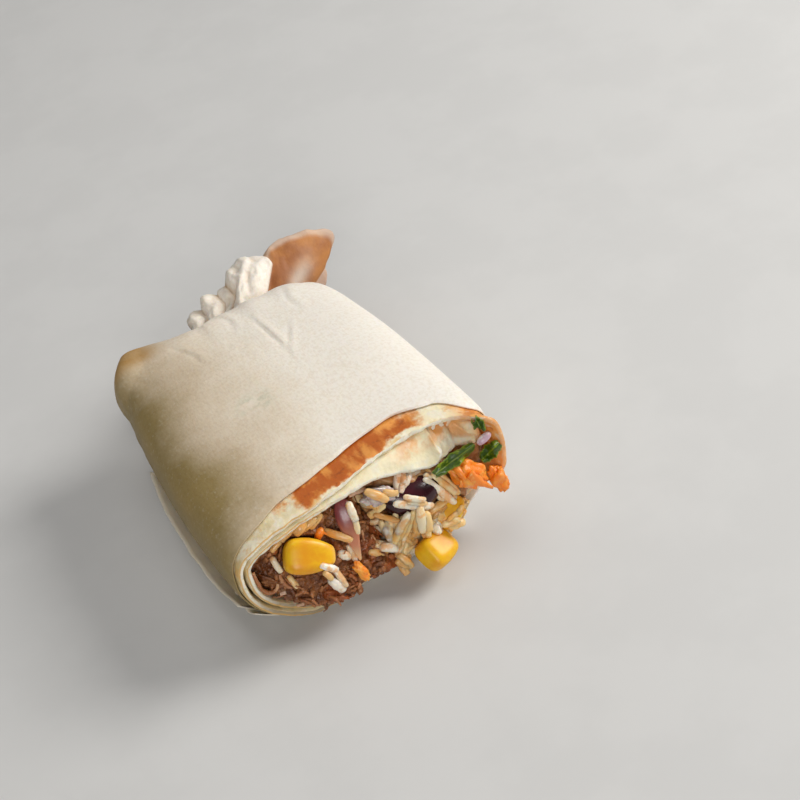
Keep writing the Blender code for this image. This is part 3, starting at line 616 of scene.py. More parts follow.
def makeTail():
    count, steps = tailShape["around"], tailShape["steps"]
    lobes = [lobesAt(2 * math.pi * i / count) for i in range(count)]
    low = 0.86 * tailShape["base"]
    rings, warmth, fresh, deep = [], [], [], []

    def outerReach(i, share):
        most, flat = lobes[i][0], lobes[i][3]
        swell = (1 - (1 - share) ** 2.4) * (1 - flat) + share * flat
        return low + (most - low) * swell

    def crumpled(i, share, reach):
        turn = 2 * math.pi * i / count
        spot = Vector((math.cos(turn) * reach, math.sin(turn) * reach, share * 14.0))
        fold, fine = facets(spot, 3.4), facets(spot + Vector((9.0, 4.0, 2.0)), 1.5)
        grow = smooth(share, 0.0, 0.4) * (1 - 0.45 * lobes[i][3])
        shade = smooth(-fold - 0.5 * fine, 0.1, 0.6) * (1 - lobes[i][3])
        return (tailShape["crumple"] * fold + tailShape["fineCrumple"] * fine) * grow, shade

    for k in range(steps + 1):
        share = k / steps
        ring = []
        for i in range(count):
            turn = 2 * math.pi * i / count
            most, rim, thick, flat, valley = lobes[i]
            reach = outerReach(i, share)
            swell, shade = crumpled(i, share, reach)
            reach += swell
            y = tailShape["startY"] + (rim - tailShape["startY"]) * share
            ring.append(tailSpot(turn, share, reach, y))
            # Painted shade: warmth darkens the valleys between the lobes and the creases of the crumple.
            warmth.append(max(0.9 * valley * (1 - 0.4 * share), 0.3 * shade))
            # The deep list marks the flap's dark face: soaked paper and painted shade.
            deep.append(0.95 * flat * smooth(share, 0.1, 0.3))
            # Painted light: a whitish highlight patch on the flap, and a pale band along its rim.
            degree = math.degrees(turn)
            patch = math.exp(-((degree - 34) / 7) ** 2 - ((share - 0.5) / 0.16) ** 2)
            fresh.append(max(0.6 * patch * flat, 0.4 * flat * smooth(share, 0.9, 0.97)))
        rings.append(ring)
    for k in range(1, tailShape["rollSteps"] + 1):
        bend = math.pi * k / tailShape["rollSteps"]
        ring = []
        for i in range(count):
            turn = 2 * math.pi * i / count
            most, rim, thick, flat, valley = lobes[i]
            swell, shade = crumpled(i, 1.0 + 0.35 * k / tailShape["rollSteps"], most)
            reach = outerReach(i, 1.0) + swell
            reach += thick * (math.cos(bend) - 1)
            ring.append(tailSpot(turn, 1.0, reach, rim + thick * 1.1 * math.sin(bend)))
            # Painted shade in the valleys and creases of the rolled rim, and painted light along the rim.
            warmth.append(max(0.8 * valley, 0.3 * shade))
            deep.append(0.95 * flat)
            fresh.append(0.45)
        rings.append(ring)
    for k in range(1, tailShape["hollowSteps"] + 1):
        sunk = k / tailShape["hollowSteps"]
        inward = 0.85 * smooth(sunk, 0.2, 1.0)
        ring = []
        for i in range(count):
            turn = 2 * math.pi * i / count
            most, rim, thick, flat, valley = lobes[i]
            share = 1 - (0.14 + 0.4 * flat) * smooth(sunk, 0.0, 0.5)
            reach = (outerReach(i, share) - 2 * thick) * (1 - inward)
            x, y, z = tailSpot(turn, share, reach, tailShape["startY"] + (rim - tailShape["startY"]) * share)
            fold = facets(Vector((x, y * 0.4, z)), 2.6) * smooth(sunk, 0.1, 0.4)
            ring.append((x, y + tailShape["hollowFolds"] * fold, z))
            # Painted shade: the hollow darkens in its folds.
            warmth.append(0.25 + 0.6 * smooth(-fold, -0.1, 0.4))
            deep.append(0.8 * flat * (1 - smooth(sunk, 0.3, 0.7)))
            fresh.append(0.0)
        rings.append(ring)
    return closedLoft(rings), warmth + [0.6, 0.9], fresh + [0.0, 0.0], deep + [0.0, 0.0]


seamShape = {   # free lengthwise edges low on the left: from, to, free edge and root in degrees, stand-off
    "strips": ((5.0, 58.0, 201, 228, 3.9), (2.4, 12.0, 207, 229, 2.2)),
    "wall": 0.34,
    "steps": 60,
    "across": 14,
    "lowest": 0.35,
    "warm": 0.05,
    # The strips are laid pale as painted light against the painted shade of the left side.
    "fresh": 0.9,
    "deep": 0.0,
}


def makeStrip(yStart, yEnd, low, high, standOff):
    rings = []
    across, half = seamShape["across"], 0.5 * seamShape["wall"]
    for k in range(seamShape["steps"] + 1):
        share = k / seamShape["steps"]
        y = yStart + (yEnd - yStart) * share
        bow = standOff * (0.55 + 0.45 * math.sin(math.pi * share)) + 0.25 * math.sin(9 * share)
        bow += 0.3 * noise.noise(Vector((y * 0.2, 4.0, 0.0)))
        outer, inner = [], []
        for i in range(across + 1):
            part = i / across
            turn = math.radians(high + (low - high) * part)
            away = -bow * part ** 1.5
            x, z = sectionPoint(turn, y, away - half)
            outer.append((x, y, max(z, seamShape["lowest"])))
            x, z = sectionPoint(turn, y, away + half)
            inner.append((x, y, max(z, seamShape["lowest"])))
        rings.append(outer + inner[::-1])
    return closedLoft(rings)


def makePaperLook():
    material, tree, shader = newLook("greaseproof paper", {
        "Roughness": 0.58, "Specular IOR Level": 0.36, "Subsurface Weight": 0.12,
        "Subsurface Radius": (1.0, 0.6, 0.3), "Subsurface Scale": 0.002})
    # Painted shade: the colour across the top darkens and turns olive towards the left side, away from the
    # light.
    drift = times(tree, mottle(tree, 42.0, 0.2, 0.8), paperLook["drift"])
    across = mathStep(tree, "ADD", axis(tree, "X"), drift)
    start = (paperLook["across"][0][0] + rollPlace.x) * mm + paperLook["drift"] * 0.5
    end = (paperLook["across"][-1][0] + rollPlace.x) * mm + paperLook["drift"] * 0.5
    colour = colourAlong(tree, across, start, end, paperLook["across"])
    specks = times(tree, mottle(tree, 1250.0, 0.42, 0.66), 0.34)
    colour = blend(tree, specks, colour, paperLook["speck"], "MULTIPLY")
    light = times(tree, mottle(tree, 1050.0, 0.55, 0.78, 3.0), 0.16)
    colour = blend(tree, light, colour, paperLook["light"])
    spot, tone = paperLook["shown"]
    near = nearSpot(tree, spot, 0.0065, 0.0012)
    colour = blend(tree, times(tree, near, mottle(tree, 260.0, 0.4, 0.6)), colour, tone, "MULTIPLY")
    # Painted light: the pale paper colour where the flap, the rims and the free strips catch the light.
    colour = blend(tree, times(tree, attribute(tree, "fresh"), 0.85), colour, paperLook["fresh"])
    # The warm attribute lays on dark golden brown: painted shade in the tail's valleys, creases and hollow
    # and where it begins, and the darker far left corner.
    uneven = rampMask(tree, mottle(tree, 90.0, 0.3, 0.7), 0.0, 1.0, 0.7, 0.95)
    warm = times(tree, attribute(tree, "warm"), uneven)
    colour = blend(tree, warm, colour, paperLook["oily"])
    # The flap's dark face by the deep attribute: oil-soaked paper and painted shade together.
    soakedAndShaded = blend(tree, mottle(tree, 130.0, 0.36, 0.66, 7.0), paperLook["soakedAndShaded"], paperLook["soakedAndShadedLight"])
    colour = blend(tree, attribute(tree, "deep"), colour, soakedAndShaded)
    # Painted highlight: the whitish patch and rim on the flap, over its dark face.
    flapPaintedLight = times(tree, attribute(tree, "fresh"), attribute(tree, "deep"))
    colour = blend(tree, flapPaintedLight, colour, paperLook["fresh"])
    feed(tree, shader.inputs["Base Color"], colour)
    relief(tree, shader, 1500.0, 0.00007, 0.7, 0.45)
    return material


def sleeveWarmth(x, y, z):   # darker golden at the far left corner, and painted shade where the tail begins
    farLeft = smooth(-x, 11.0, 18.0) * smooth(y, 68.0, 74.5) * smooth(z, 14.0, 22.0)
    return max(farLeft * 0.95, 0.4 * smooth(y, 76.0, 77.0))


def makePaper():
    spots, sides = makeSleeve()
    plain = [0.0] * len(spots)
    parts = [((spots, sides), [sleeveWarmth(*spot) for spot in spots], plain, plain), makeTail()]
    for strip in seamShape["strips"]:
        spots, sides = makeStrip(*strip)
        warm, fresh, deep = ([seamShape[label]] * len(spots) for label in ("warm", "fresh", "deep"))
        parts.append(((spots, sides), warm, fresh, deep))
    points, faces, warmth, paintedLights, deepness = [], [], [], [], []
    for (spots, sides), warm, fresh, deep in parts:
        start = len(points)
        points += spots
        faces += [tuple(start + i for i in side) for side in sides]
        warmth += warm
        paintedLights += fresh
        deepness += deep
    item = meshPiece("paperWrap", points, faces, {"warm": warmth, "fresh": paintedLights, "deep": deepness})
    return ready(item, "paper_wrap", makePaperLook())


# The tortilla: one sheet rolled clockwise, once round outside and on as an inner turn with a folded flap

tortillaShape = {
    "thickness": 1.5,
    "layerGap": 0.45,
    "flap": ((3.5, 28.6), (8.0, 27.2), (13.0, 25.3), (17.6, 23.7), (20.0, 24.9), (20.9, 27.6),
             (21.9, 29.9), (23.3, 29.7), (24.2, 27.5), (25.2, 28.2), (26.4, 30.0), (28.0, 29.0),
             (29.0, 25.6)),
    "flapRise": 1.45,
    "flapCeiling": (29.3, 0.03),   # the flap ends under the top layer: height, slope
    "frillSetBack": 4.2,
    "finer": 5,
    "rows": (0.0, 0.25, 0.6, 1.1, 1.8, 2.7, 3.8, 5.2, 7.0, 9.5, 13.0, 19.0, 32.0, 50.0, 68.0),
    "cutSteps": 7,
    "raggedEdge": 0.45,
    "blisters": 0.16,
    "flareOut": 1.5,
    "flareForward": 1.7,
    "lowRightSetBack": 4.0,
}
tortillaLook = {
    "across": ((-34.0, (0.60, 0.43, 0.17)), (-24.0, (0.74, 0.60, 0.34)), (-14.0, (0.84, 0.73, 0.47)),
               (10.0, (0.91, 0.82, 0.58)), (34.0, (0.88, 0.74, 0.46))),
    "pale": (0.88, 0.83, 0.68),
    "golden": (0.70, 0.40, 0.10),
    "tan": (0.82, 0.32, 0.042),
    "toast": (0.51, 0.115, 0.007),
    # A darker greyish tan at the lower left of the cut: partly wet, translucent dough, partly painted shade.
    "wet": (0.27, 0.185, 0.085),
    "char": (0.27, 0.055, 0.007),
    "dough": (0.90, 0.85, 0.71),
    "crumb": (0.72, 0.60, 0.38),
    # places in the shared frame, in metres: each look begins at the first number and is full at the second
    "toastAcross": ((-0.0240, -0.0195), (0.0150, 0.0080)),   # the toasted band's left and right end
    "toastUp": (0.025, 0.028),
    "wander": 0.006,   # how far the ends of the toasted band stray
    "setBackAcross": ((-0.0038, 0.0092), (0.0272, 0.0202)),   # where the top ends further back
    "setBack": 0.0036,
    "rightWall": (0.0205, 0.0265),
    "flapAcross": (0.003, 0.0125),
    "flapUp": (0.0262, 0.0288),
    "brownedCut": (0.018, 0.025),
    "wetAndShadedAcross": (-0.002, -0.014),
    "wetAndShadedUp": (0.017, 0.007),
    "rindAcross": (-0.006, -0.02),
}


def turnCountToFlap():
    for i, turn in enumerate(rollTurns):
        x, z = rawPoint(turn, 0.0)
        if z > wrapShape["sideHeight"] and x > tortillaShape["flap"][0][0] - 4.0:
            return i
    return 0


def layerDepth(step):
    stepIn = tortillaShape["thickness"] + tortillaShape["layerGap"]
    count = wrapShape["roundPoints"]
    return tortillaDepth + stepIn * smooth(step, count - 13, count - 4)


def flapPoint(i, y):
    x, z = tortillaShape["flap"][i]
    climb = smooth(x, 2.0, 7.0) * (1 - smooth(x, 20.3, 22.0))
    height, slope = tortillaShape["flapCeiling"]
    z = max(z, min(z + min(y, 8.0) * tortillaShape["flapRise"] * climb, height + slope * x))
    close = endRounding(y)
    narrow = halfWidths(y)[1] / wrapShape["halfWidthRight"] * (0.5 + 0.5 * close)
    middle = wrapShape["sideHeight"]
    return x * narrow, middle + (z - middle) * close * (1 - 0.06 * (y / wrapShape["innerLength"]) ** 2)


def sheetPath(y):
    outer, inner = [], []
    for step in range(wrapShape["roundPoints"] + turnCountToFlap()):
        turn = rollTurns[step % wrapShape["roundPoints"]]
        outer.append(sectionPoint(turn, y, layerDepth(step)))
        inner.append(sectionPoint(turn, y, layerDepth(step) + tortillaShape["thickness"]))
    last = len(tortillaShape["flap"]) - 1
    for i in range(last + 1):
        before, after = tortillaShape["flap"][max(i - 1, 0)], tortillaShape["flap"][min(i + 1, last)]
        along = Vector((after[0] - before[0], after[1] - before[1])).normalized()
        x, z = flapPoint(i, y)
        half = 0.43 * tortillaShape["thickness"]
        outer.append((x - along.y * half, z + along.x * half))
        inner.append((x + along.y * half, z - along.x * half))
    return finer(outer, tortillaShape["finer"]), finer(inner, tortillaShape["finer"])


def wallFlare(x, y, z):   # how far the right wall opens outward at the cut, and stands forward
    share = smooth(x, 19.0, 28.0) * smooth(z, 8.0, 13.0)
    outward = tortillaShape["flareOut"] * share * (1 - smooth(y, 0.0, 3.4))
    return outward, tortillaShape["flareForward"] * share * (1 - smooth(y, 0.0, 9.0))


def cutSetBack(x, z):
    return tortillaShape["lowRightSetBack"] * smooth(x, 8.0, 26.0) * (1 - smooth(z, 5.0, 14.0))


def makeTortilla():
    length = wrapShape["innerLength"]
    paths = [sheetPath(y) for y in tortillaShape["rows"]]
    total = len(paths[0][0])
    firstFlap = total - tortillaShape["finer"] * (len(tortillaShape["flap"]) - 1) - 1
    points, dough, outerFace, flapShare = [], [], [], []
    for i in range(total):
        finerBy = tortillaShape["finer"]
        secondTurn = wrapShape["roundPoints"] * finerBy
        inFlap = smooth(i, secondTurn - 12, secondTurn)
        tuck = tortillaShape["frillSetBack"] * smooth(i, firstFlap + 4.2 * finerBy, firstFlap + 5.2 * finerBy)
        run = i * 0.13

        def edgeAt(x, z, y):
            ragged = tortillaShape["raggedEdge"] * noise.noise(Vector((x * 0.35, 1.0, z * 0.35)))
            ragged += 0.2 * noise.noise(Vector((x * 1.1, 5.0, z * 1.1)))
            return y + (cutSetBack(x, z) + tuck + ragged * (1 - min(y / 6.0, 1.0))) * (1 - y / length)

        def blistered(point, other, y):
            swell = noise.noise(Vector((run * 0.9, y * 0.28, 7.0))) * tortillaShape["blisters"]
            away = (Vector(point) - Vector(other)).normalized()
            cornerRound = 0.22 * (1 - smooth(y, 0.0, 0.7))   # the cut's corner is a little rounded
            shift = away * (swell * smooth(y, 0.2, 1.5) - cornerRound)
            return point[0] + shift.x, point[1] + shift.y

        def opened(x, y, z, row):
            outward, forward = wallFlare(x, row, z) if i < firstFlap - 5 else (0.0, 0.0)
            back = topSetBack(x, z) * (1 - row / length) if i < wrapShape["roundPoints"] * finerBy else 0.0
            return x + outward, y - forward + back, z

        column = []
        for (outer, inner), y in reversed(list(zip(paths, tortillaShape["rows"]))):
            x, z = blistered(outer[i], inner[i], y)
            column.append((opened(x, edgeAt(x, z, y), z, y), 0.0, 1.0))
        outer, inner = paths[0]
        steps = tortillaShape["cutSteps"]
        for k in range(1, steps):
            spot = Vector(outer[i]).lerp(Vector(inner[i]), 0.12 + 0.76 * k / steps)
            crumbs = noise.noise(Vector((spot.x, 3.0, spot.y)) * 1.3)
            bulge = 0.16 * math.sin(math.pi * k / steps) + 0.14 * crumbs
            ring = 0.9 - 0.8 * k / steps
            column.append((opened(spot.x, edgeAt(spot.x, spot.y, 0.0) - bulge, spot.y, 0.0), 1.0, ring))
        for (outer, inner), y in zip(paths, tortillaShape["rows"]):
            x, z = blistered(inner[i], outer[i], y)
            column.append((opened(x, edgeAt(x, z, y), z, y), 0.0, 0.0))
        for spot, isDough, isOuter in column:
            points.append(spot)
            dough.append(isDough)
            outerFace.append(isOuter)
            flapShare.append(inFlap)
    columns = len(column)
    faces = []
    for i in range(total - 1):
        for k in range(columns - 1):
            a, b = i * columns + k, (i + 1) * columns + k
            faces.append((a, b, b + 1, a + 1))
        a, b = i * columns, (i + 1) * columns
        faces.append((a + columns - 1, b + columns - 1, b, a))   # the far end
    for i in (0, total - 1):
        for k in range(columns // 2):
            a, b = i * columns + k, i * columns + columns - 1 - k
            if b - a > 2:
                faces.append((a, a + 1, b - 1, b))
            elif b - a == 2:
                faces.append((a, a + 1, b))
    values = {"dough": dough, "outer": outerFace, "flap": flapShare}
    look = makeTortillaLook()
    ready(makeFold(), None, look)
    return ready(meshPiece("tortillaRoll", points, faces, values), "tortilla", look)


foldShape = {   # the flap's folded end: its face goes on to a crest, then folds lie behind it
    "lip": ((-2.1, 29.3), (5.1, 28.0), (10.0, 27.6), (15.0, 24.7), (18.6, 23.0), (22.4, 23.9),
            (27.7, 24.3)),   # the face's lower edge
    "faceRise": 0.56,   # how far back the face leans per millimetre up
    "crest": ((30.5, 23.0), (28.0, 23.9), (25.0, 24.4), (22.0, 24.0)),   # the face's right end: up, across
    "ridges": (   # across and up, how far behind the cut each crest lies, and its half width
        (((24.6, 30.2, 3.6), (26.6, 29.9, 3.2), (28.3, 28.6, 2.6), (29.6, 25.6, 2.0),
          (30.6, 22.9, 1.4)), 1.6),
        (((25.0, 24.4, 1.7), (26.6, 23.9, 1.2), (28.8, 23.2, 0.8)), 1.25),
    ),
    "low": (16.6, 21.4),
    "right": 31.2,
    "under": 3.0,   # how far the fold ends below the wrap's outer face
    "columns": 70,
    "rows": 46,
    "behind": 5.0,
    "back": 9.0,
}


def bentLine(line, place):   # the second number of a line of pairs where the first is place
    for (a, valueA), (b, valueB) in zip(line, line[1:]):
        if min(a, b) <= place <= max(a, b):
            return valueA + (valueB - valueA) * (place - a) / (b - a)
    return line[0][1] if abs(place - line[0][0]) < abs(place - line[-1][0]) else line[-1][1]


def foldFront(x, z):   # how far behind the cut the folds' face lies, and how deep it is in a valley
    rise = z - bentLine(foldShape["lip"], x)
    front = 0.5 + foldShape["faceRise"] * max(rise, 0.0) + 1.2 * max(-rise, 0.0)
    front += 0.5 * smooth(-x, -18.5, -17.0)
    over = x - bentLine(foldShape["crest"], z)
    front += 1.7 * max(over, 0.0) ** 1.5 + 0.7 * smooth(over, -2.4, 0.0) + 0.3 * max(z - 27.8, 0.0) ** 2
    valley = smooth(over, 0.3, 1.3)
    for line, radius in foldShape["ridges"]:
        for (ax, az, ay), (bx, bz, by) in zip(line, line[1:]):
            along = Vector((bx - ax, bz - az))
            off = Vector((x - ax, z - az))
            share = min(max(off.dot(along) / along.length_squared, 0.0), 1.0)
            gap = (off - along * share).length / radius
            face = ay + (by - ay) * share + radius * (1 - math.sqrt(max(1 - min(gap, 1.0) ** 2, 0.0)))
            face += 2.5 * max(gap - 0.9, 0.0)
            if face < front:
                valley = smooth(gap, 0.7, 1.1)
            front = min(front, face) - 0.12 * math.exp(-((face - front) / 0.35) ** 2)
    return min(front, foldShape["behind"]), valley


def makeFold():
    (lowX, lowZ), columns, rows = foldShape["low"], foldShape["columns"], foldShape["rows"]
    front, back, brown = [], [], []
    half, tall = wrapShape["halfWidthRight"], wrapShape["topHeight"] + 0.6 - wrapShape["sideHeight"]
    power = wrapShape["cornerPower"]["upperRight"]
    for i in range(columns + 1):
        x = lowX + (foldShape["right"] - lowX) * i / columns
        roof = wrapShape["sideHeight"] + tall * (1 - (x / half) ** power) ** (1 / power) - foldShape["under"]
        for j in range(rows + 1):
            z = lowZ + (roof - lowZ) * j / rows
            y, valley = foldFront(x, z)
            wrinkle = noise.noise(Vector((x * 0.6, 2.0, z * 0.6)))
            y += 0.4 * wrinkle + 0.16 * noise.noise(Vector((x * 1.8, 6.0, z * 1.8)))
            front.append((x, y, z))
            back.append((x, foldShape["back"], z))
            # Painted shade: brown in the valleys between the folds and along the top of the crest; browner
            # towards the right end.
            crest = smooth(z, 25.6, 28.2) * smooth(wrinkle, -0.45, 0.1) * (1 - smooth(x, 23.4, 24.4))
            shade = max(0.7 * valley, 0.8 * crest)
            brown.append(min(max(shade, 0.8 * smooth(x, 29.0, 30.8)), 1.0))
    values = {"brown": brown + brown, "flap": [1.0] * len(front + back)}
    return meshPiece("tortillaFold", front + back, slabFaces(columns, rows), values)


def makeTortillaLook():
    look = tortillaLook
    material, tree, shader = newLook("tortilla", {
        "Roughness": 0.52, "Specular IOR Level": 0.4, "Subsurface Weight": 0.18,
        "Subsurface Radius": (1.0, 0.55, 0.25), "Subsurface Scale": 0.0015})
    across, along = axis(tree, "X"), axis(tree, "Y")
    first, last = look["across"][0][0], look["across"][-1][0]
    skin = colourAlong(tree, across, (first + rollPlace.x) * mm, (last + rollPlace.x) * mm, look["across"])
    skin = blend(tree, times(tree, mottle(tree, 230.0, 0.45, 0.62), 0.7), skin, look["pale"])
    outer = rampMask(tree, attribute(tree, "outer"), 0.6, 0.9)
    golden = times(tree, mottle(tree, 210.0, 0.52, 0.64, 6.0), times(tree, outer, 0.7))
    single = mathStep(tree, "SUBTRACT", 1.0, attribute(tree, "flap"))   # 0 on the inner turn, flap and folds
    golden = times(tree, golden, single)
    skin = blend(tree, golden, skin, look["golden"])
    wander = times(tree, mottle(tree, 190.0, 0.3, 0.7, 5.0), look["wander"])
    place = mathStep(tree, "SUBTRACT", across, wander)
    leftEnd, rightEnd = look["toastAcross"]
    middle = times(tree, rampMask(tree, place, *leftEnd), rampMask(tree, place, *rightEnd))
    top = rampMask(tree, axis(tree, "Z"), *look["toastUp"])
    waver = times(tree, mottle(tree, 160.0, 0.3, 0.7, 3.0), 0.0026)
    leftEnd, rightEnd = look["setBackAcross"]
    setBack = times(tree, rampMask(tree, across, *leftEnd), rampMask(tree, across, *rightEnd))
    waver = mathStep(tree, "ADD", waver, times(tree, setBack, look["setBack"]))
    fromEdge = mathStep(tree, "SUBTRACT", along, waver)
    cut = rollPlace.y * mm
    edge = rampMask(tree, fromEdge, cut - 0.0008, cut + 0.0006)
    area = times(tree, times(tree, middle, top), times(tree, edge, outer))
    area = times(tree, area, single)
    halo = times(tree, area, mottle(tree, 125.0, 0.29, 0.41, 0.4))
    skin = blend(tree, times(tree, halo, 0.95), skin, look["tan"])
    streaks = rampMask(tree, pores(tree, 420.0, 0.35), 0.55, 0.9, 0.15, 1.0)
    patches = times(tree, mottle(tree, 150.0, 0.34, 0.5, 0.4), streaks)
    toast = times(tree, area, patches)
    skin = blend(tree, toast, skin, look["toast"])
    char = times(tree, toast, mottle(tree, 480.0, 0.54, 0.68, 1.0))
    skin = blend(tree, times(tree, char, 0.6), skin, look["char"])
    right = times(tree, rampMask(tree, across, *look["rightWall"]), 0.9)
    right = times(tree, times(tree, right, single), mottle(tree, 190.0, 0.2, 0.42, 2.0))
    skin = blend(tree, right, skin, look["tan"])
    scorched = times(tree, times(tree, right, mottle(tree, 330.0, 0.5, 0.62, 5.0)), 0.7)
    skin = blend(tree, scorched, skin, look["toast"])
    fair = times(tree, times(tree, right, mottle(tree, 420.0, 0.56, 0.68, 8.0)), 0.6)
    skin = blend(tree, fair, skin, look["pale"])
    # Painted shade on the folds, from their brown attribute: tan in the valleys and along the crest's top.
    skin = blend(tree, times(tree, attribute(tree, "brown"), 0.75), skin, look["tan"])
    # Painted shade: tan along the top of the flap and its folds, under the top layer's rim.
    flapTopShade = times(tree, attribute(tree, "flap"), rampMask(tree, axis(tree, "Z"), *look["flapUp"]))
    flapTopShade = times(tree, flapTopShade, rampMask(tree, across, *look["flapAcross"]))
    flapTopShade = times(tree, flapTopShade, mottle(tree, 220.0, 0.34, 0.58, 3.0))
    skin = blend(tree, times(tree, flapTopShade, 0.75), skin, look["tan"])
    crumb = blend(tree, mottle(tree, 800.0, 0.5, 0.75, 4.0), look["dough"], look["crumb"])
    browned = times(tree, rampMask(tree, across, *look["brownedCut"]), mottle(tree, 240.0, 0.3, 0.55, 9.0))
    crumb = blend(tree, times(tree, browned, 0.8), crumb, look["tan"])
    # Wet dough and painted shade: the cut darkens towards its lower left.
    wetAndShaded = times(tree, rampMask(tree, across, *look["wetAndShadedAcross"]),
                  rampMask(tree, axis(tree, "Z"), *look["wetAndShadedUp"]))
    crumb = blend(tree, times(tree, wetAndShaded, 0.8), crumb, look["wet"])
    rind = times(tree, rampMask(tree, attribute(tree, "outer"), 0.48, 0.72), 0.9)
    rind = times(tree, rind, rampMask(tree, across, *look["rindAcross"]))
    crumb = blend(tree, rind, crumb, look["golden"])
    cutFace = rampMask(tree, attribute(tree, "dough"), 0.25, 0.75)
    colour = blend(tree, cutFace, skin, crumb)
    feed(tree, shader.inputs["Base Color"], colour)
    relief(tree, shader, 900.0, 0.0002, 0.7)
    return material


# The filling: pulled beef on the left, rice on the right

fillShape = {
    "parting": ((-2.5, 36.0), (-0.5, 20.0), (2.0, 10.0), (5.0, -4.0)),
    "room": 0.5,
    "around": 220,
    "faceRings": 42,
    "beefLump": 1.25,
    "riceLump": 0.8,
    "recede": 2.2,   # how far the filling lies back behind a loose piece
}


def fillingOutline(y, room):
    outline = []
    innerTurn = turnCountToFlap()
    for step in range(innerTurn, wrapShape["roundPoints"] + innerTurn):
        turn = rollTurns[step % wrapShape["roundPoints"]]
        x, z = sectionPoint(turn, y, layerDepth(step) + tortillaShape["thickness"] + room)
        if step < wrapShape["roundPoints"] and z > 20.5:
            continue
        outline.append((x, z))
    under = []
    for i in range(0, 5):
        x, z = flapPoint(i, y)
        under.append((x + 0.3, z - 0.5 * tortillaShape["thickness"] - room))
    under.append((21.5, 22.8 - room))
    under.append((outline[0][0] - 1.0, 21.6 - room))
    return under + outline


def frontOf(x, z, beef):
    lump = noise.noise(Vector((x * 0.16, 3.7, z * 0.16))) * 1.9
    lump += noise.noise(Vector((x * 0.45, 8.1, z * 0.45))) * 0.8
    if beef:
        low = 1 - smooth(z, 8.0, 24.0)
        return 1.2 - 5.6 * low * smooth(x, -29.0, -18.0) + lump
    return 0.6 - 2.2 * smooth(x, 0.0, 8.0) + 2.4 * smooth(x, 18.0, 27.0) + lump


def partingX(z):
    line = fillShape["parting"]
    for (ax, az), (bx, bz) in zip(line, line[1:]):
        if bz <= z <= az:
            return ax + (bx - ax) * (z - az) / (bz - az)
    return line[-1][0]


def halfOutline(y, beef):
    outline = fillingOutline(y, fillShape["room"])
    kept = []
    side = -1 if beef else 1
    for (ax, az), (bx, bz) in zip(outline, outline[1:] + outline[:1]):
        aOff, bOff = ax - partingX(az), bx - partingX(bz)
        if aOff * side > 0.2:
            kept.append((ax, az))
        if (aOff * side > 0) != (bOff * side > 0):
            share = aOff / (aOff - bOff)
            kept.append((ax + (bx - ax) * share + side * 0.2, az + (bz - az) * share))
    return kept


def resampled(outline, count):
    spots = [Vector(point) for point in outline]
    start = min(range(len(spots)), key=lambda i: (spots[i] - Vector((4.0, 0.0))).length)
    spots = spots[start:] + spots[:start + 1]
    walked = [0.0]
    for a, b in zip(spots, spots[1:]):
        walked.append(walked[-1] + (b - a).length)
    found, place = [], 0
    for i in range(count):
        goal = walked[-1] * i / count
        while walked[place + 1] < goal:
            place += 1
        share = (goal - walked[place]) / max(walked[place + 1] - walked[place], 1e-9)
        found.append(tuple(spots[place].lerp(spots[place + 1], share)))
    return found


def frameFrom(along, outward):
    first = Vector(along).normalized()
    third = Vector(outward) - first * Vector(outward).dot(first)
    third.normalize()
    return Matrix((first, third.cross(first), third)).transposed()


# Each loose piece at the cut: size, centre, the way it runs, the way it looks
loosePieces = {
    "corn_left": ((12.0, 8.4, 6.6), (-15.9, -3.1, 21.0), (0.90, -0.30, -0.32), (-0.02, -0.77, 0.64)),
    "corn_low": ((9.6, 8.2, 6.4), (11.4, -6.2, 6.6), (0.91, 0.39, -0.14), (0.34, -0.53, 0.78)),
    "corn_middle": ((8.6, 6.4, 5.4), (17.9, -2.3, 11.1), (0.80, 0.30, 0.50), (0.08, -0.59, 0.80)),
    "kidney_bean": ((15.5, 8.4, 7.6), (10.6, 0.2, 19.6), (0.96, -0.16, -0.16), (-0.08, -0.74, 0.67)),
    "onion_long": ((14.6, 3.6, 1.7), (-5.0, -1.4, 20.3), (-0.10, -0.44, -0.89), (-0.28, -0.84, 0.46)),
    "onion_bit": ((3.8, 2.2, 1.4), (30.4, -1.2, 24.3), (0.95, 0.02, 0.30), (0.02, -0.67, 0.74)),
    "carrot_chunk": ((9.2, 5.4, 5.0), (24.1, -2.4, 19.1), (0.62, -0.13, -0.77), (0.01, -0.99, 0.16)),
    "carrot_side": ((6.4, 3.6, 3.6), (31.2, -2.9, 13.2), (0.29, -0.07, -0.95), (-0.16, -0.99, 0.03)),
    "carrot_bit": ((4.8, 2.2, 1.8), (-6.6, -5.9, 12.0), (0.23, -0.35, -0.91), (-0.13, -0.94, 0.33)),
    "sauce": ((6.6, 3.8, 3.2), (3.3, -0.8, 24.7), (0.95, -0.11, -0.20), (-0.16, -0.71, 0.69)),
}
looseLeaves = {   # length, width, centre, the way it runs, the way it looks
    "leaf_low": (11.5, 3.0, (22.0, -2.2, 24.0), (0.96, 0.12, 0.06), (0.16, -0.69, 0.71)),
    "leaf_top": (4.8, 2.4, (29.6, -1.7, 29.0), (0.35, 0.05, -0.94), (-0.45, -0.88, 0.10)),
    "leaf_side": (5.4, 3.4, (30.7, -2.4, 21.0), (0.85, -0.09, 0.45), (-0.37, -0.67, 0.64)),
}


def clearOfPieces(spot, room):   # 0 under or in front of a loose piece, 1 away from all of them
    clear = 1.0
    for size, centre, along, outward in loosePieces.values():
        local = frameFrom(along, outward).transposed() @ (Vector(spot) - Vector(centre))
        near = max(abs(local.x) / (size[0] * 0.5 + room), abs(local.y) / (size[1] * 0.5 + room))
        if local.z > -size[2] * 0.5:
            clear = min(clear, smooth(near, 0.85, 1.05))
    return clear


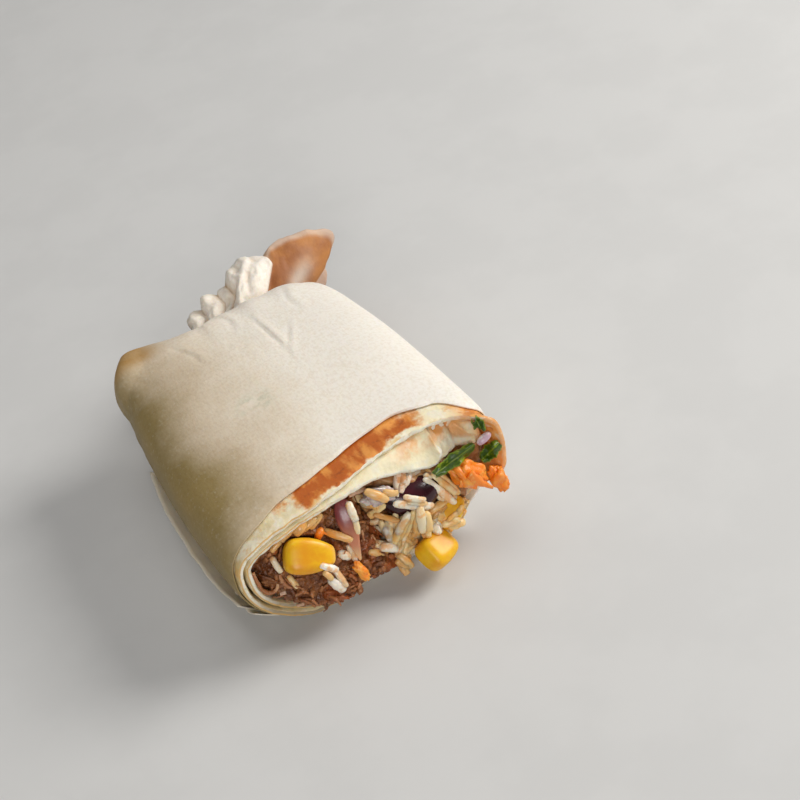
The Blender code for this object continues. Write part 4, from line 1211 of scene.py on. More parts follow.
def meatRelief(x, z):   # lumps drawn out along a direction that turns slowly over the face
    lean = 2.4 * noise.noise(Vector((x * 0.06, 11.0, z * 0.06)))
    along, across = x * math.cos(lean) + z * math.sin(lean), z * math.cos(lean) - x * math.sin(lean)
    lumps = ridged(along * 0.19, 1.0, across * 0.38)
    bits = ridged(along * 0.46, 4.0, across * 0.95)
    crumbs = ridged(along * 1.0, 7.0, across * 1.6)
    return lumps + 0.6 * bits + 0.3 * crumbs - 0.75


def makeCore(name, beef):
    count = fillShape["around"]
    rings = [[(x, y, z) for x, z in resampled(halfOutline(y, beef), count)]
             for y in (wrapShape["innerLength"] - 1.0, 30.0, 14.0, 8.0, 5.5, 4.0, 3.0)]
    face = resampled(halfOutline(0.0, beef), count)
    middle = sum((Vector(point) for point in face), Vector((0.0, 0.0))) / count
    for k in range(fillShape["faceRings"]):
        shrink = 0.99 - 0.97 * k / (fillShape["faceRings"] - 1)
        ring = []
        for point in face:
            x, z = middle + (Vector(point) - middle) * shrink
            y = frontOf(x, z, beef) + 2.2 * smooth(shrink, 0.8, 1.0)
            if beef:
                y -= fillShape["beefLump"] * meatRelief(x, z)
            else:
                y -= fillShape["riceLump"] * (ridged(x * 0.3, 2.0, z * 0.3) - 0.5)
            y += fillShape["recede"] * (1 - clearOfPieces((x, y, z), 0.2))
            ring.append((x, y, z))
        rings.append(ring)
    points, faces = closedLoft(rings)
    opened = []
    for x, y, z in points:
        shown = clearOfPieces((x, y, z), 0.4) * (1 - smooth(y, 2.6, 3.4))
        if not beef:
            shown *= 1 - smooth(x, 15.5, 18.0)
            ceiling = bentLine(foldShape["lip"], x)
            shown *= 1 - smooth(z, ceiling - 5.0, ceiling - 3.5)
        opened.append(shown)
    return meshPiece(name, points, faces, {"open": opened})


# Geometry Nodes trees that set out shreds, strands and grains

def socketCalled(sockets, name):
    return [socket for socket in sockets if socket.enabled and socket.name == name][0]


def join(tree, fromNode, fromName, toNode, toName):
    tree.links.new(socketCalled(fromNode.outputs, fromName), socketCalled(toNode.inputs, toName))


def startTree(name, inputs):
    tree = bpy.data.node_groups.new(name, "GeometryNodeTree")
    tree.interface.new_socket(name="Geometry", in_out="INPUT", socket_type="NodeSocketGeometry")
    for label, kind, value in inputs:
        socket = tree.interface.new_socket(name=label, in_out="INPUT", socket_type="NodeSocket" + kind)
        if value is not None:
            socket.default_value = value
    tree.interface.new_socket(name="Geometry", in_out="OUTPUT", socket_type="NodeSocketGeometry")
    return tree, tree.nodes.new("NodeGroupInput"), tree.nodes.new("NodeGroupOutput")


def finishTree(tree, given, result, placed, ownTint=False):
    if not ownTint:
        tint = addNode(tree, "FunctionNodeRandomValue", data_type="FLOAT")
        join(tree, given, "Seed", tint, "Seed")
        keep = addNode(tree, "GeometryNodeStoreNamedAttribute", data_type="FLOAT", domain="INSTANCE")
        socketCalled(keep.inputs, "Name").default_value = "tint"
        tree.links.new(placed, socketCalled(keep.inputs, "Geometry"))
        join(tree, tint, "Value", keep, "Value")
        placed = socketCalled(keep.outputs, "Geometry")
    real = addNode(tree, "GeometryNodeRealizeInstances")
    dress = addNode(tree, "GeometryNodeSetMaterial")
    tree.links.new(placed, socketCalled(real.inputs, "Geometry"))
    join(tree, real, "Geometry", dress, "Geometry")
    join(tree, given, "Material", dress, "Material")
    join(tree, dress, "Geometry", result, "Geometry")


def makeScatterTree():   # lays pieces flat on the open part of a surface
    tree, given, result = startTree("scatterOnFace", (
        ("Pieces", "Collection", None), ("Spacing", "Float", 0.002), ("Density", "Float", 100000.0),
        ("Smallest", "Float", 0.6), ("Largest", "Float", 1.1), ("Lean", "Float", 0.3), ("Lift", "Float", 0.0),
        ("Whirl", "Float", 0.0), ("Stray", "Float", 2 * math.pi), ("Seed", "Int", 1),
        ("Material", "Material", None)))
    share = addNode(tree, "GeometryNodeInputNamedAttribute", data_type="FLOAT")
    socketCalled(share.inputs, "Name").default_value = "open"
    spread = addNode(tree, "GeometryNodeDistributePointsOnFaces", distribute_method="POISSON")
    join(tree, given, "Geometry", spread, "Mesh")
    join(tree, given, "Spacing", spread, "Distance Min")
    join(tree, given, "Density", spread, "Density Max")
    join(tree, share, "Attribute", spread, "Density Factor")
    join(tree, given, "Seed", spread, "Seed")
    lift = addNode(tree, "ShaderNodeVectorMath", operation="SCALE")
    join(tree, spread, "Normal", lift, "Vector")
    join(tree, given, "Lift", lift, "Scale")
    place = addNode(tree, "GeometryNodeSetPosition")
    join(tree, spread, "Points", place, "Geometry")
    join(tree, lift, "Vector", place, "Offset")
    leanBack = addNode(tree, "ShaderNodeMath", operation="MULTIPLY")
    tree.links.new(socketCalled(given.outputs, "Lean"), leanBack.inputs[0])
    leanBack.inputs[1].default_value = -1.0
    leaning = addNode(tree, "FunctionNodeRandomValue", data_type="FLOAT")
    tree.links.new(leanBack.outputs[0], socketCalled(leaning.inputs, "Min"))
    join(tree, given, "Lean", leaning, "Max")
    join(tree, given, "Seed", leaning, "Seed")
    spinning = addNode(tree, "FunctionNodeRandomValue", data_type="FLOAT")
    join(tree, given, "Stray", spinning, "Max")
    flow = addNode(tree, "ShaderNodeTexNoise", Scale=95.0, Detail=1.0)   # neighbours lie much the same way
    whirl = addNode(tree, "ShaderNodeMath", operation="MULTIPLY_ADD")
    tree.links.new(flow.outputs["Fac"], whirl.inputs[0])
    tree.links.new(socketCalled(given.outputs, "Whirl"), whirl.inputs[1])
    tree.links.new(socketCalled(spinning.outputs, "Value"), whirl.inputs[2])
    angles = addNode(tree, "ShaderNodeCombineXYZ")
    tree.links.new(socketCalled(leaning.outputs, "Value"), angles.inputs["Y"])
    tree.links.new(whirl.outputs[0], angles.inputs["Z"])
    euler = addNode(tree, "FunctionNodeEulerToRotation")
    tree.links.new(angles.outputs[0], euler.inputs[0])
    turned = addNode(tree, "FunctionNodeRotateRotation", rotation_space="LOCAL")
    join(tree, spread, "Rotation", turned, "Rotation")
    tree.links.new(euler.outputs[0], socketCalled(turned.inputs, "Rotate By"))
    size = addNode(tree, "FunctionNodeRandomValue", data_type="FLOAT")
    join(tree, given, "Smallest", size, "Min")
    join(tree, given, "Largest", size, "Max")
    source = addNode(tree, "GeometryNodeCollectionInfo")
    join(tree, given, "Pieces", source, "Collection")
    socketCalled(source.inputs, "Separate Children").default_value = True
    put = addNode(tree, "GeometryNodeInstanceOnPoints")
    join(tree, place, "Geometry", put, "Points")
    join(tree, source, "Instances", put, "Instance")
    socketCalled(put.inputs, "Pick Instance").default_value = True
    tree.links.new(turned.outputs[0], socketCalled(put.inputs, "Rotation"))
    join(tree, size, "Value", put, "Scale")
    finishTree(tree, given, result, socketCalled(put.outputs, "Instances"))
    return tree


def makePlaceTree():   # puts one piece on each point, turned the way the point says
    tree, given, result = startTree("placeEach", (
        ("Pieces", "Collection", None), ("Seed", "Int", 1), ("Material", "Material", None)))
    named = {}
    for name, kind in (("along", "FLOAT_VECTOR"), ("outward", "FLOAT_VECTOR"), ("grow", "FLOAT_VECTOR")):
        named[name] = addNode(tree, "GeometryNodeInputNamedAttribute", data_type=kind)
        socketCalled(named[name].inputs, "Name").default_value = name
    turned = addNode(tree, "FunctionNodeAxesToRotation", primary_axis="X", secondary_axis="Z")
    tree.links.new(socketCalled(named["along"].outputs, "Attribute"), turned.inputs[0])
    tree.links.new(socketCalled(named["outward"].outputs, "Attribute"), turned.inputs[1])
    source = addNode(tree, "GeometryNodeCollectionInfo")
    join(tree, given, "Pieces", source, "Collection")
    socketCalled(source.inputs, "Separate Children").default_value = True
    dots = addNode(tree, "GeometryNodeMeshToPoints")
    join(tree, given, "Geometry", dots, "Mesh")
    put = addNode(tree, "GeometryNodeInstanceOnPoints")
    join(tree, dots, "Points", put, "Points")
    join(tree, source, "Instances", put, "Instance")
    socketCalled(put.inputs, "Pick Instance").default_value = True
    tree.links.new(turned.outputs[0], socketCalled(put.inputs, "Rotation"))
    tree.links.new(socketCalled(named["grow"].outputs, "Attribute"), socketCalled(put.inputs, "Scale"))
    finishTree(tree, given, result, socketCalled(put.outputs, "Instances"), True)
    return tree


def treeMesh(name, tree, source, settings):   # runs a tree on source and gives its result as a plain mesh
    item = bpy.data.objects.new(name + "Source", source.data)
    bpy.context.scene.collection.objects.link(item)
    modifier = item.modifiers.new("tree", "NODES")
    modifier.node_group = tree
    sockets = {entry.name: entry.identifier for entry in tree.interface.items_tree if entry.in_out == "INPUT"}
    for label, value in settings.items():
        modifier[sockets[label]] = value
    item.update_tag()
    bpy.context.view_layer.update()
    graph = bpy.context.evaluated_depsgraph_get()
    mesh = bpy.data.meshes.new_from_object(item.evaluated_get(graph))
    item.modifiers.remove(modifier)
    bpy.data.objects.remove(item)
    mesh.name = name
    mesh.shade_smooth()
    made = bpy.data.objects.new(name, mesh)
    bpy.context.scene.collection.objects.link(made)
    return made


def modelStore(name, models):   # unit models kept out of the picture
    store = bpy.data.collections.new(name)
    for model in models:
        for user in list(model.users_collection):
            user.objects.unlink(model)
        store.objects.link(model)
    return store


def bareMesh(name, points, faces):
    mesh = bpy.data.meshes.new(name)
    mesh.from_pydata([tuple(Vector(point) * mm) for point in points], [], faces)
    faceOutward(mesh)
    return bpy.data.objects.new(name, mesh)


scatterTree, placeTree = makeScatterTree(), makePlaceTree()


# Pulled beef: a lumpy mass with strips lying over it

beefShape = {
    "chunks": {"count": 7, "length": (1.8, 3.6), "width": (1.1, 2.1), "sides": 9, "steps": 9, "rough": 0.3},
    "strands": {"count": 4, "length": (3.6, 6.5), "width": (0.45, 0.85), "sides": 6, "steps": 10,
                "rough": 0.2},
    "chunkSpacing": 0.0011,
    "strandSpacing": 0.0048,
    "seed": 4,
}
beefLook = {
    "deep": (0.10, 0.024, 0.006),
    "brown": (0.27, 0.092, 0.024),
    "tan": (0.48, 0.195, 0.07),
    "red": (0.43, 0.100, 0.018),
    "fat": (0.66, 0.40, 0.22),
}


def strandModel(name, kind, draw):
    rings = []
    length, width = draw.uniform(*kind["length"]), draw.uniform(*kind["width"])
    swing, rise, twist = draw.uniform(-1, 1), draw.uniform(0.3, 1.0), draw.uniform(-2.5, 2.5)
    sides, steps, rough = kind["sides"], kind["steps"], kind["rough"]
    for k in range(steps):
        share = k / (steps - 1)
        x = (share - 0.5) * length
        y = swing * 0.16 * length * math.sin(math.pi * share) + draw.uniform(-0.1, 0.1)
        z = rise * 0.1 * length * math.sin(math.pi * share) + draw.uniform(-0.1, 0.1)
        swell = max(math.sin(math.pi * (0.06 + 0.88 * share)), 0.0) ** 0.5 * draw.uniform(0.85, 1.15)
        ring = []
        for i in range(sides):
            angle = 2 * math.pi * i / sides
            wide = 0.5 * width * swell * draw.uniform(1 - rough, 1 + rough)
            flat = Vector((0.0, wide * math.cos(angle), 0.72 * wide * math.sin(angle)))
            flat.rotate(Matrix.Rotation(twist * (share - 0.5), 3, "X"))
            ring.append(tuple(Vector((x, y, z)) + flat))
        rings.append(ring)
    return bareMesh(name, *closedLoft(rings))


def makeBeefLook():
    material, tree, shader = newLook("pulled beef", {
        "Roughness": 0.4, "Specular IOR Level": 0.42, "Subsurface Weight": 0.1,
        "Subsurface Radius": (1.0, 0.3, 0.15), "Subsurface Scale": 0.001, "Coat Weight": 0.1,
        "Coat Roughness": 0.25})
    tint = attribute(tree, "tint")
    colour = blend(tree, rampMask(tree, tint, 0.15, 0.95), beefLook["brown"], beefLook["tan"])
    colour = blend(tree, times(tree, mottle(tree, 240.0, 0.44, 0.62), 0.75), colour, beefLook["deep"])
    colour = blend(tree, times(tree, mottle(tree, 150.0, 0.5, 0.64, 5.0), 0.6), colour, beefLook["red"])
    colour = blend(tree, times(tree, mottle(tree, 520.0, 0.6, 0.72, 8.0), 0.55), colour, beefLook["fat"])
    feed(tree, shader.inputs["Base Color"], colour)
    wet = rampMask(tree, mottle(tree, 600.0, 0.3, 0.7, 2.0), 0.0, 1.0, 0.2, 0.5)
    feed(tree, shader.inputs["Roughness"], wet)
    relief(tree, shader, 1000.0, 0.0003, 0.9)
    return material


def makeBeef():
    look = makeBeefLook()
    core = makeCore("beefMass", True)
    draw = random.Random(beefShape["seed"])
    chunks, strands = beefShape["chunks"], beefShape["strands"]
    settings = {"Pieces": modelStore("chunks", [strandModel("chunk%d" % k, chunks, draw)
                                                for k in range(chunks["count"])]),
                "Spacing": beefShape["chunkSpacing"], "Density": 900000.0, "Smallest": 0.45, "Largest": 1.0,
                "Lean": 0.35, "Lift": -0.0002, "Whirl": 22.0, "Stray": 1.0, "Seed": beefShape["seed"],
                "Material": look}
    shreds = treeMesh("beefShreds", scatterTree, core, settings)
    settings["Pieces"] = modelStore("strands", [strandModel("strand%d" % k, strands, draw)
                                                for k in range(strands["count"])])
    settings["Spacing"], settings["Lift"], settings["Seed"] = beefShape["strandSpacing"], 0.0006, 11
    strings = treeMesh("beefStrands", scatterTree, core, settings)
    ready(core, "pulled_beef", look)
    ready(shreds, None, look)
    ready(strings, None, look)
    print("beef:", len(shreds.data.polygons), "faces of shreds,", len(strings.data.polygons), "of strands")
    return [core, shreds]


# Cooked long-grain rice

riceShape = {
    "length": 7.6,
    "width": 2.05,
    "models": 4,
    "behind": 0.0015,
    "plump": 1.13,   # the marks give each grain a little small
    "companions": 2,
    "meatEnds": 0.8,   # grains further left lie alone on the meat
    "beanLow": 17.0,   # and so do those above here and left of the bean's right end
    "beanRight": 15.0,
    "sides": 10,
    "profile": ((-0.5, 0.26), (-0.485, 0.52), (-0.44, 0.76), (-0.34, 0.92), (-0.18, 0.99), (0.0, 1.0),
                (0.17, 0.98), (0.33, 0.9), (0.44, 0.74), (0.485, 0.5), (0.5, 0.24)),   # place, how thick
    "shown": (   # each grain seen: its two ends on the plane of the cut, its width, how dark it is: sauce stain, and painted shade for grains that lie in shade
        ((15.1, 21.2), (20.7, 10.0), 1.74, 0.15),
        ((16.7, 21.3), (21.5, 12.4), 1.74, 0.45),
        ((7.2, 18.8), (15.0, 13.0), 1.74, 0.1),
        ((9.4, 19.5), (14.0, 15.5), 1.41, 0.15),
        ((9.9, 17.3), (14.0, 14.3), 1.30, 0.25),
        ((0.1, 26.0), (2.4, 20.5), 1.09, 0.85),
        ((1.5, 26.3), (5.2, 21.4), 1.74, 0.8),
        ((5.2, 23.8), (8.0, 21.6), 1.52, 0.8),
        ((1.8, 19.1), (6.8, 13.8), 1.30, 1.0),
        ((9.6, 14.5), (4.9, 9.8), 1.74, 0.2),
        ((10.7, 14.0), (7.3, 8.8), 1.52, 0.6),
        ((7.3, 9.1), (4.2, 4.2), 1.41, 0.3),
        ((12.3, 14.1), (11.5, 7.5), 1.85, 0.3),
        ((15.1, 10.7), (15.2, 6.5), 1.74, 0.35),
        ((14.1, 8.6), (15.3, 4.2), 1.96, 0.15),
        ((13.0, 9.6), (12.7, 4.7), 1.52, 0.6),
        ((11.4, 13.5), (10.0, 8.2), 1.30, 0.8),
        ((3.5, 14.2), (3.8, 9.6), 1.74, 0.15),
        ((3.6, 11.0), (5.3, 8.2), 1.74, 0.3),
        ((1.1, 9.3), (4.7, 6.5), 2.07, 0.1),
        ((-1.4, 9.7), (2.0, 7.4), 1.52, 0.75),
        ((14.1, 11.4), (18.8, 12.3), 1.74, 0.7),
        ((17.1, 3.9), (22.1, 7.5), 1.30, 0.55),
        ((18.7, 3.8), (24.2, 8.6), 1.30, 0.5),
        ((16.9, 5.7), (20.7, 4.6), 1.74, 0.45),
        ((5.0, 6.6), (9.8, 5.8), 1.52, 0.9),
        ((4.9, 4.0), (6.8, -0.6), 1.74, 0.8),
        ((6.5, 11.2), (8.3, 5.2), 1.30, 0.85),
        ((8.3, 10.0), (11.2, 8.6), 1.30, 0.8),
        ((-22.9, 23.0), (-22.0, 18.0), 1.41, 0.2),
        ((-13.0, 13.5), (-10.0, 10.1), 1.52, 0.0),
        ((-10.7, 11.5), (-8.9, 3.9), 1.41, 0.1),
        ((-12.0, 8.3), (-10.0, 3.7), 1.85, 0.05),
        ((-13.0, 11.3), (-11.7, 8.4), 1.30, 0.75),
        ((-20.7, 15.5), (-19.7, 11.6), 1.30, 0.4),
        ((-6.0, 14.9), (-5.3, 9.6), 1.30, 0.1),
        ((-8.2, 14.2), (-6.5, 11.8), 1.74, 0.05),
        ((-3.3, 26.2), (-2.7, 20.3), 1.74, 0.15),
        ((-2.7, 22.4), (-3.0, 16.8), 1.30, 0.35),
        ((-13.0, 25.2), (-9.8, 27.2), 1.74, 0.9),
        ((-9.8, 22.1), (-5.2, 16.2), 1.52, 0.85),
        ((-14.5, 28.9), (-10.9, 28.6), 1.30, 0.9),
        ((-22.4, 24.8), (-19.8, 26.3), 1.30, 0.9),
        ((-20.1, 26.2), (-16.8, 27.5), 1.74, 0.9),
        ((-16.3, 25.9), (-13.7, 27.5), 1.96, 0.95),
        ((-14.6, 25.7), (-11.1, 26.9), 1.74, 0.9),
        ((-10.1, 28.9), (-7.2, 28.5), 1.30, 0.9),
    ),
    "seed": 9,
}
riceLook = {
    "white": (0.90, 0.84, 0.74),
    "cream": (0.90, 0.66, 0.32),
    # The tan end colours stained grains and, as painted shade, grains that lie in shade.
    "tan": (0.70, 0.37, 0.125),
    "orange": (0.86, 0.38, 0.07),
    "sauce": (0.36, 0.15, 0.045),
    "sauceLight": (0.62, 0.36, 0.16),
}


def grainModel(name, draw):
    sides = riceShape["sides"]
    length = riceShape["length"] * draw.uniform(0.9, 1.08)
    width = riceShape["width"] * draw.uniform(0.92, 1.08)
    curve, shear = draw.uniform(0.2, 0.7), draw.uniform(-0.25, 0.25)
    rings = []
    for place, swell in riceShape["profile"]:
        bend = curve * (1 - (2 * place) ** 2)
        swell *= draw.uniform(0.92, 1.08)
        ring = []
        for i in range(sides):
            angle = 2 * math.pi * i / sides
            flat = 0.9 + 0.1 * math.cos(2 * angle)
            radius = 0.5 * width * swell * flat * draw.uniform(0.93, 1.07)
            ring.append((place * length + shear * radius * math.cos(angle), radius * math.cos(angle),
                         0.86 * radius * math.sin(angle) + bend))
        rings.append(ring)
    return bareMesh(name, *closedLoft(rings))


def makeRiceLook():
    material, tree, shader = newLook("rice", {
        "Roughness": 0.3, "Specular IOR Level": 0.45, "Subsurface Weight": 0.5,
        "Subsurface Radius": (1.0, 0.75, 0.5), "Subsurface Scale": 0.0015, "Coat Weight": 0.14,
        "Coat Roughness": 0.15})
    stops = ((0.0, riceLook["white"]), (0.5, riceLook["cream"]), (1.0, riceLook["tan"]))
    colour = colourAlong(tree, attribute(tree, "tint"), 0.0, 1.0, stops)
    stained = times(tree, mottle(tree, 380.0, 0.46, 0.62, 2.0), 0.7)
    colour = blend(tree, stained, colour, riceLook["orange"])
    feed(tree, shader.inputs["Base Color"], colour)
    relief(tree, shader, 700.0, 0.00012, 0.5)
    return material


def makeSauceLook():   # the stained mass behind the grains
    material, tree, shader = newLook("sauced rice", {
        "Roughness": 0.38, "Subsurface Weight": 0.2, "Subsurface Scale": 0.001, "Coat Weight": 0.15,
        "Coat Roughness": 0.2})
    colour = blend(tree, mottle(tree, 260.0, 0.42, 0.64), riceLook["sauce"], riceLook["sauceLight"])
    feed(tree, shader.inputs["Base Color"], colour)
    relief(tree, shader, 600.0, 0.0003, 0.8)
    return material


def pointCloud(name, spots):   # spots: centre, along, outward, size factors, tint
    mesh = bpy.data.meshes.new(name)
    mesh.from_pydata([tuple((Vector(spot[0]) + rollPlace) * mm) for spot in spots], [], [])
    for k, label in ((1, "along"), (2, "outward"), (3, "grow")):
        layer = mesh.attributes.new(label, "FLOAT_VECTOR", "POINT")
        layer.data.foreach_set("vector", [part for spot in spots for part in Vector(spot[k])])
    layer = mesh.attributes.new("tint", "FLOAT", "POINT")
    layer.data.foreach_set("value", [spot[4] for spot in spots])
    return bpy.data.objects.new(name, mesh)


def makeRice():
    look = makeRiceLook()
    core = makeCore("riceHeap", False)
    draw = random.Random(riceShape["seed"])
    store = modelStore("grains", [grainModel("grain%d" % k, draw) for k in range(riceShape["models"])])
    settings = {"Pieces": store, "Spacing": riceShape["behind"], "Density": 400000.0, "Smallest": 0.75,
                "Largest": 1.0, "Lean": 0.45, "Lift": 0.0002, "Whirl": 0.0, "Stray": 2 * math.pi,
                "Seed": riceShape["seed"], "Material": look}
    heaped = treeMesh("riceBehind", scatterTree, core, settings)
    for value in heaped.data.attributes["tint"].data:
        value.value = 0.25 + 0.4 * value.value   # the heaped grains lie deeper, so they are darker: painted shade, and more stain
    ready(core, "rice", makeSauceLook())
    ready(heaped, None, look)
    print("rice:", len(heaped.data.polygons), "faces of heaped grains")
    return store, look, [core, heaped]


def makeShownGrains(store, look, ground):
    draw = random.Random(riceShape["seed"] + 1)
    spots = []
    for start, end, width, stainAndShade in riceShape["shown"]:
        (a, b), towardsEye = landLine(ground, (start, end), 0.3 * width, 0.55)
        size = ((b - a).length + 0.8) / riceShape["length"]
        spread = riceShape["plump"] * width / riceShape["width"]
        lean = Vector([draw.uniform(-0.25, 0.25) for _ in range(3)])
        spots.append(((a + b) * 0.5, (b - a).normalized(), towardsEye + lean, (size, spread, spread), stainAndShade))
        overBean = start[1] > riceShape["beanLow"] and start[0] < riceShape["beanRight"]
        if start[0] < riceShape["meatEnds"] or overBean:
            continue
        for _ in range(riceShape["companions"]):   # more grains lie under each one, much the same way
            off = Vector([draw.uniform(-1.3, 1.3) for _ in range(3)]) - towardsEye * draw.uniform(0.5, 1.1)
            stray = Vector([draw.uniform(-0.35, 0.35) for _ in range(3)])
            along = ((b - a).normalized() + stray).normalized()
            # Darker than the grain over it: more stain, and painted shade for lying deeper.
            spots.append(((a + b) * 0.5 + off, along, towardsEye + lean, (size * 0.92, spread, spread),
                          min(stainAndShade + draw.uniform(0.05, 0.35), 1.0)))
    shown = treeMesh("riceShown", placeTree, pointCloud("riceSpots", spots),
                     {"Pieces": store, "Seed": 3, "Material": look})
    ready(shown, None, look)
    print("rice:", len(spots), "grains in front")


# Small things at the cut, each given by where it is seen on the plane of the cut, and laid on what carries it

def groundOf(items):
    points, faces = [], []
    for item in items:
        start = len(points)
        points += [vertex.co.copy() for vertex in item.data.vertices]
        faces += [tuple(start + i for i in face.vertices) for face in item.data.polygons]
    return BVHTree.FromPolygons(points, faces)


def landLine(ground, marks, lift, steepest):   # the marks laid on the ground, no step steeper than given
    eye = Vector(viewShape["eye"])
    rays, reaches = [], []
    for x, z in marks:
        away = Vector((x, 0.0, z)) - eye
        ray = away.normalized()
        hit = ground.ray_cast((eye + rollPlace) * mm, ray)
        rays.append(ray)
        reaches.append(min(hit[3] / mm if hit[0] else 1e9, away.length + 2.0))
    for _ in range(3):
        for i, j in [(k, k + 1) for k in range(len(marks) - 1)] + [(k + 1, k) for k in range(len(marks) - 1)]:
            gap = (rays[i] * reaches[i] - rays[j] * reaches[i]).length
            reaches[j] = min(reaches[j], reaches[i] + steepest * gap)
    spots = [eye + ray * (reach - lift) for ray, reach in zip(rays, reaches)]
    return spots, -rays[0]


bitShape = {   # marks of each strip on the plane of the cut, and its half width at each mark
    "paleShred": (
        (((9.6, 27.5), (8.5, 24.0), (8.0, 20.4)), (0.8, 0.75, 0.25)),
        (((10.6, 26.5), (10.0, 23.6), (8.9, 21.0)), (0.8, 0.9, 0.4)),
        (((12.2, 25.5), (11.0, 23.6), (9.9, 21.9)), (0.7, 0.8, 0.4)),
        (((14.5, 24.0), (12.8, 24.5), (11.0, 24.5)), (0.4, 0.7, 0.8)),
    ),
    "carrotShreds": (
        (((21.3, 20.5), (22.2, 17.4), (23.4, 15.1), (23.0, 13.5)), (0.5, 0.4, 0.35, 0.45)),
        (((25.8, 15.7), (27.8, 11.9), (30.6, 8.2)), (1.2, 0.9, 0.3)),
        (((22.6, 19.6), (23.9, 16.4), (24.6, 14.6)), (0.8, 0.6, 0.3)),
        (((-12.0, 21.5), (-11.2, 22.7), (-10.5, 23.5)), (0.9, 1.0, 0.4)),
        (((-10.7, 22.4), (-10.0, 21.3), (-9.3, 20.0)), (0.3, 0.25, 0.15)),
    ),
    "beefCurls": (
        (((-27.8, 21.8), (-27.7, 18.9), (-27.2, 16.1), (-25.8, 14.1), (-24.3, 14.0), (-23.5, 15.3)),
         (0.35, 0.5, 0.5, 0.5, 0.4, 0.3)),
        (((-22.6, 17.5), (-22.3, 15.1), (-21.7, 13.4), (-20.8, 12.1)), (0.35, 0.4, 0.35, 0.25)),
        (((-0.1, 14.2), (0.9, 10.4)), (0.2, 0.12)),
        (((-1.7, 13.7), (-0.5, 10.1)), (0.22, 0.12)),
        (((-2.0, 17.0), (-2.2, 13.8)), (0.3, 0.2)),
        (((-20.6, 9.4), (-18.8, 9.4), (-17.6, 7.9)), (0.3, 0.35, 0.2)),
        (((-17.4, 5.8), (-16.5, 3.2)), (0.35, 0.2)),
        (((-13.3, 4.1), (-12.0, 1.9), (-11.5, -0.4)), (0.3, 0.35, 0.2)),
    ),
    "fatBits": (
        (((-27.4, 16.3), (-26.7, 14.5)), (0.35, 0.2)),
        (((-23.8, 12.4), (-22.4, 12.0)), (0.6, 0.5)),
        (((-26.2, 12.5), (-25.3, 10.3)), (0.6, 0.4)),
        (((-23.2, 9.7), (-22.1, 8.3)), (0.7, 0.5)),
        (((-21.0, 6.5), (-19.4, 6.0)), (0.4, 0.3)),
        (((-2.7, 27.9), (-0.7, 27.7), (1.4, 27.2)), (0.5, 0.6, 0.4)),
    ),
}
bitLook = {
    "paleShred": ((0.80, 0.64, 0.49), (0.66, 0.31, 0.12)),
    "carrotShreds": ((0.92, 0.25, 0.018), (0.95, 0.42, 0.09)),
    "beefCurls": ((0.43, 0.165, 0.06), (0.62, 0.34, 0.17)),
    "fatBits": ((0.66, 0.42, 0.28), (0.50, 0.24, 0.13)),
}


bitDetail = {"steps": 5, "sides": 10, "thinnest": 0.1}


def makeBits(name, ground):
    main, second = bitLook[name]
    steps, sides = bitDetail["steps"], bitDetail["sides"]
    material, tree, shader = newLook(name, {
        "Roughness": 0.36, "Subsurface Weight": 0.25, "Subsurface Radius": (1.0, 0.5, 0.25),
        "Subsurface Scale": 0.001, "Coat Weight": 0.2, "Coat Roughness": 0.2})
    feed(tree, shader.inputs["Base Color"], blend(tree, mottle(tree, 420.0, 0.5, 0.64), main, second))
    relief(tree, shader, 800.0, 0.00025, 0.7)
    points, faces = [], []
    for marks, widths in bitShape[name]:
        spots, towardsEye = landLine(ground, marks, 0.5 * max(widths), 0.8)
        path = finer(spots, steps)
        halves = finer([Vector((width, 0.0, 0.0)) for width in widths], steps)
        rings = []
        for k, spot in enumerate(path):
            along = path[min(k + 1, len(path) - 1)] - path[max(k - 1, 0)]
            turn = frameFrom(along, towardsEye)
            ring = []
            for i in range(sides):
                angle = 2 * math.pi * i / sides
                across, up = math.cos(angle), math.sin(angle)
                rough = 1 + 0.5 * noise.noise(Vector(spot) * 0.9 + Vector((across, up, 0.0)))
                half = max(halves[k].x, bitDetail["thinnest"]) * rough
                ring.append(tuple(spot + turn @ Vector((0.0, half * across, 0.6 * half * up))))
            rings.append(ring)
        spotsOf, facesOf = closedLoft(rings)
        start = len(points)
        points += spotsOf
        faces += [tuple(start + i for i in face) for face in facesOf]
    return ready(meshPiece(name, points, faces), None, material)


# The loose pieces of vegetable at the cut, and the dab of sauce

def boxy(unit, power):
    return Vector([math.copysign(abs(part) ** power, part) for part in unit])


def cornShape(unit, half):
    spot = boxy(unit, 0.58)
    narrow = 1.0 - (0.34 if half.x > 5 else 0.12) * smooth(spot.x, -0.2, 1.1)
    dimple = 0.09 * math.exp(-((spot.x - 0.1) / 0.5) ** 2 - (spot.y / 0.5) ** 2) * (1 if spot.z > 0 else 0)
    spot *= 0.94 + 0.05 * noise.noise(Vector(unit) * 1.3 + Vector((half.x, 2.0, half.y)))
    return Vector((spot.x * half.x, spot.y * half.y * narrow, spot.z * half.z * (narrow - dimple)))


def beanShape(unit, half):
    bend = 0.34 * (1 - unit.x ** 2)
    return Vector((unit.x * half.x, (unit.y - bend + 0.17) * half.y, unit.z * half.z))


def chunkShape(unit, half):
    spot = boxy(unit, 0.86)
    lump = 1.06 + 0.4 * noise.noise(Vector(unit) * 1.5 + Vector((half.x, half.y, 4.0)))
    lump += 0.2 * noise.noise(Vector(unit) * 3.4 + Vector((2.0, half.x, 1.0)))
    lump -= 0.1 * (1 - ridged(unit.x * 1.6, unit.y * 2.8 + half.x, unit.z * 2.8)) ** 2
    return Vector((spot.x * half.x * lump, spot.y * half.y * lump, spot.z * half.z * lump))


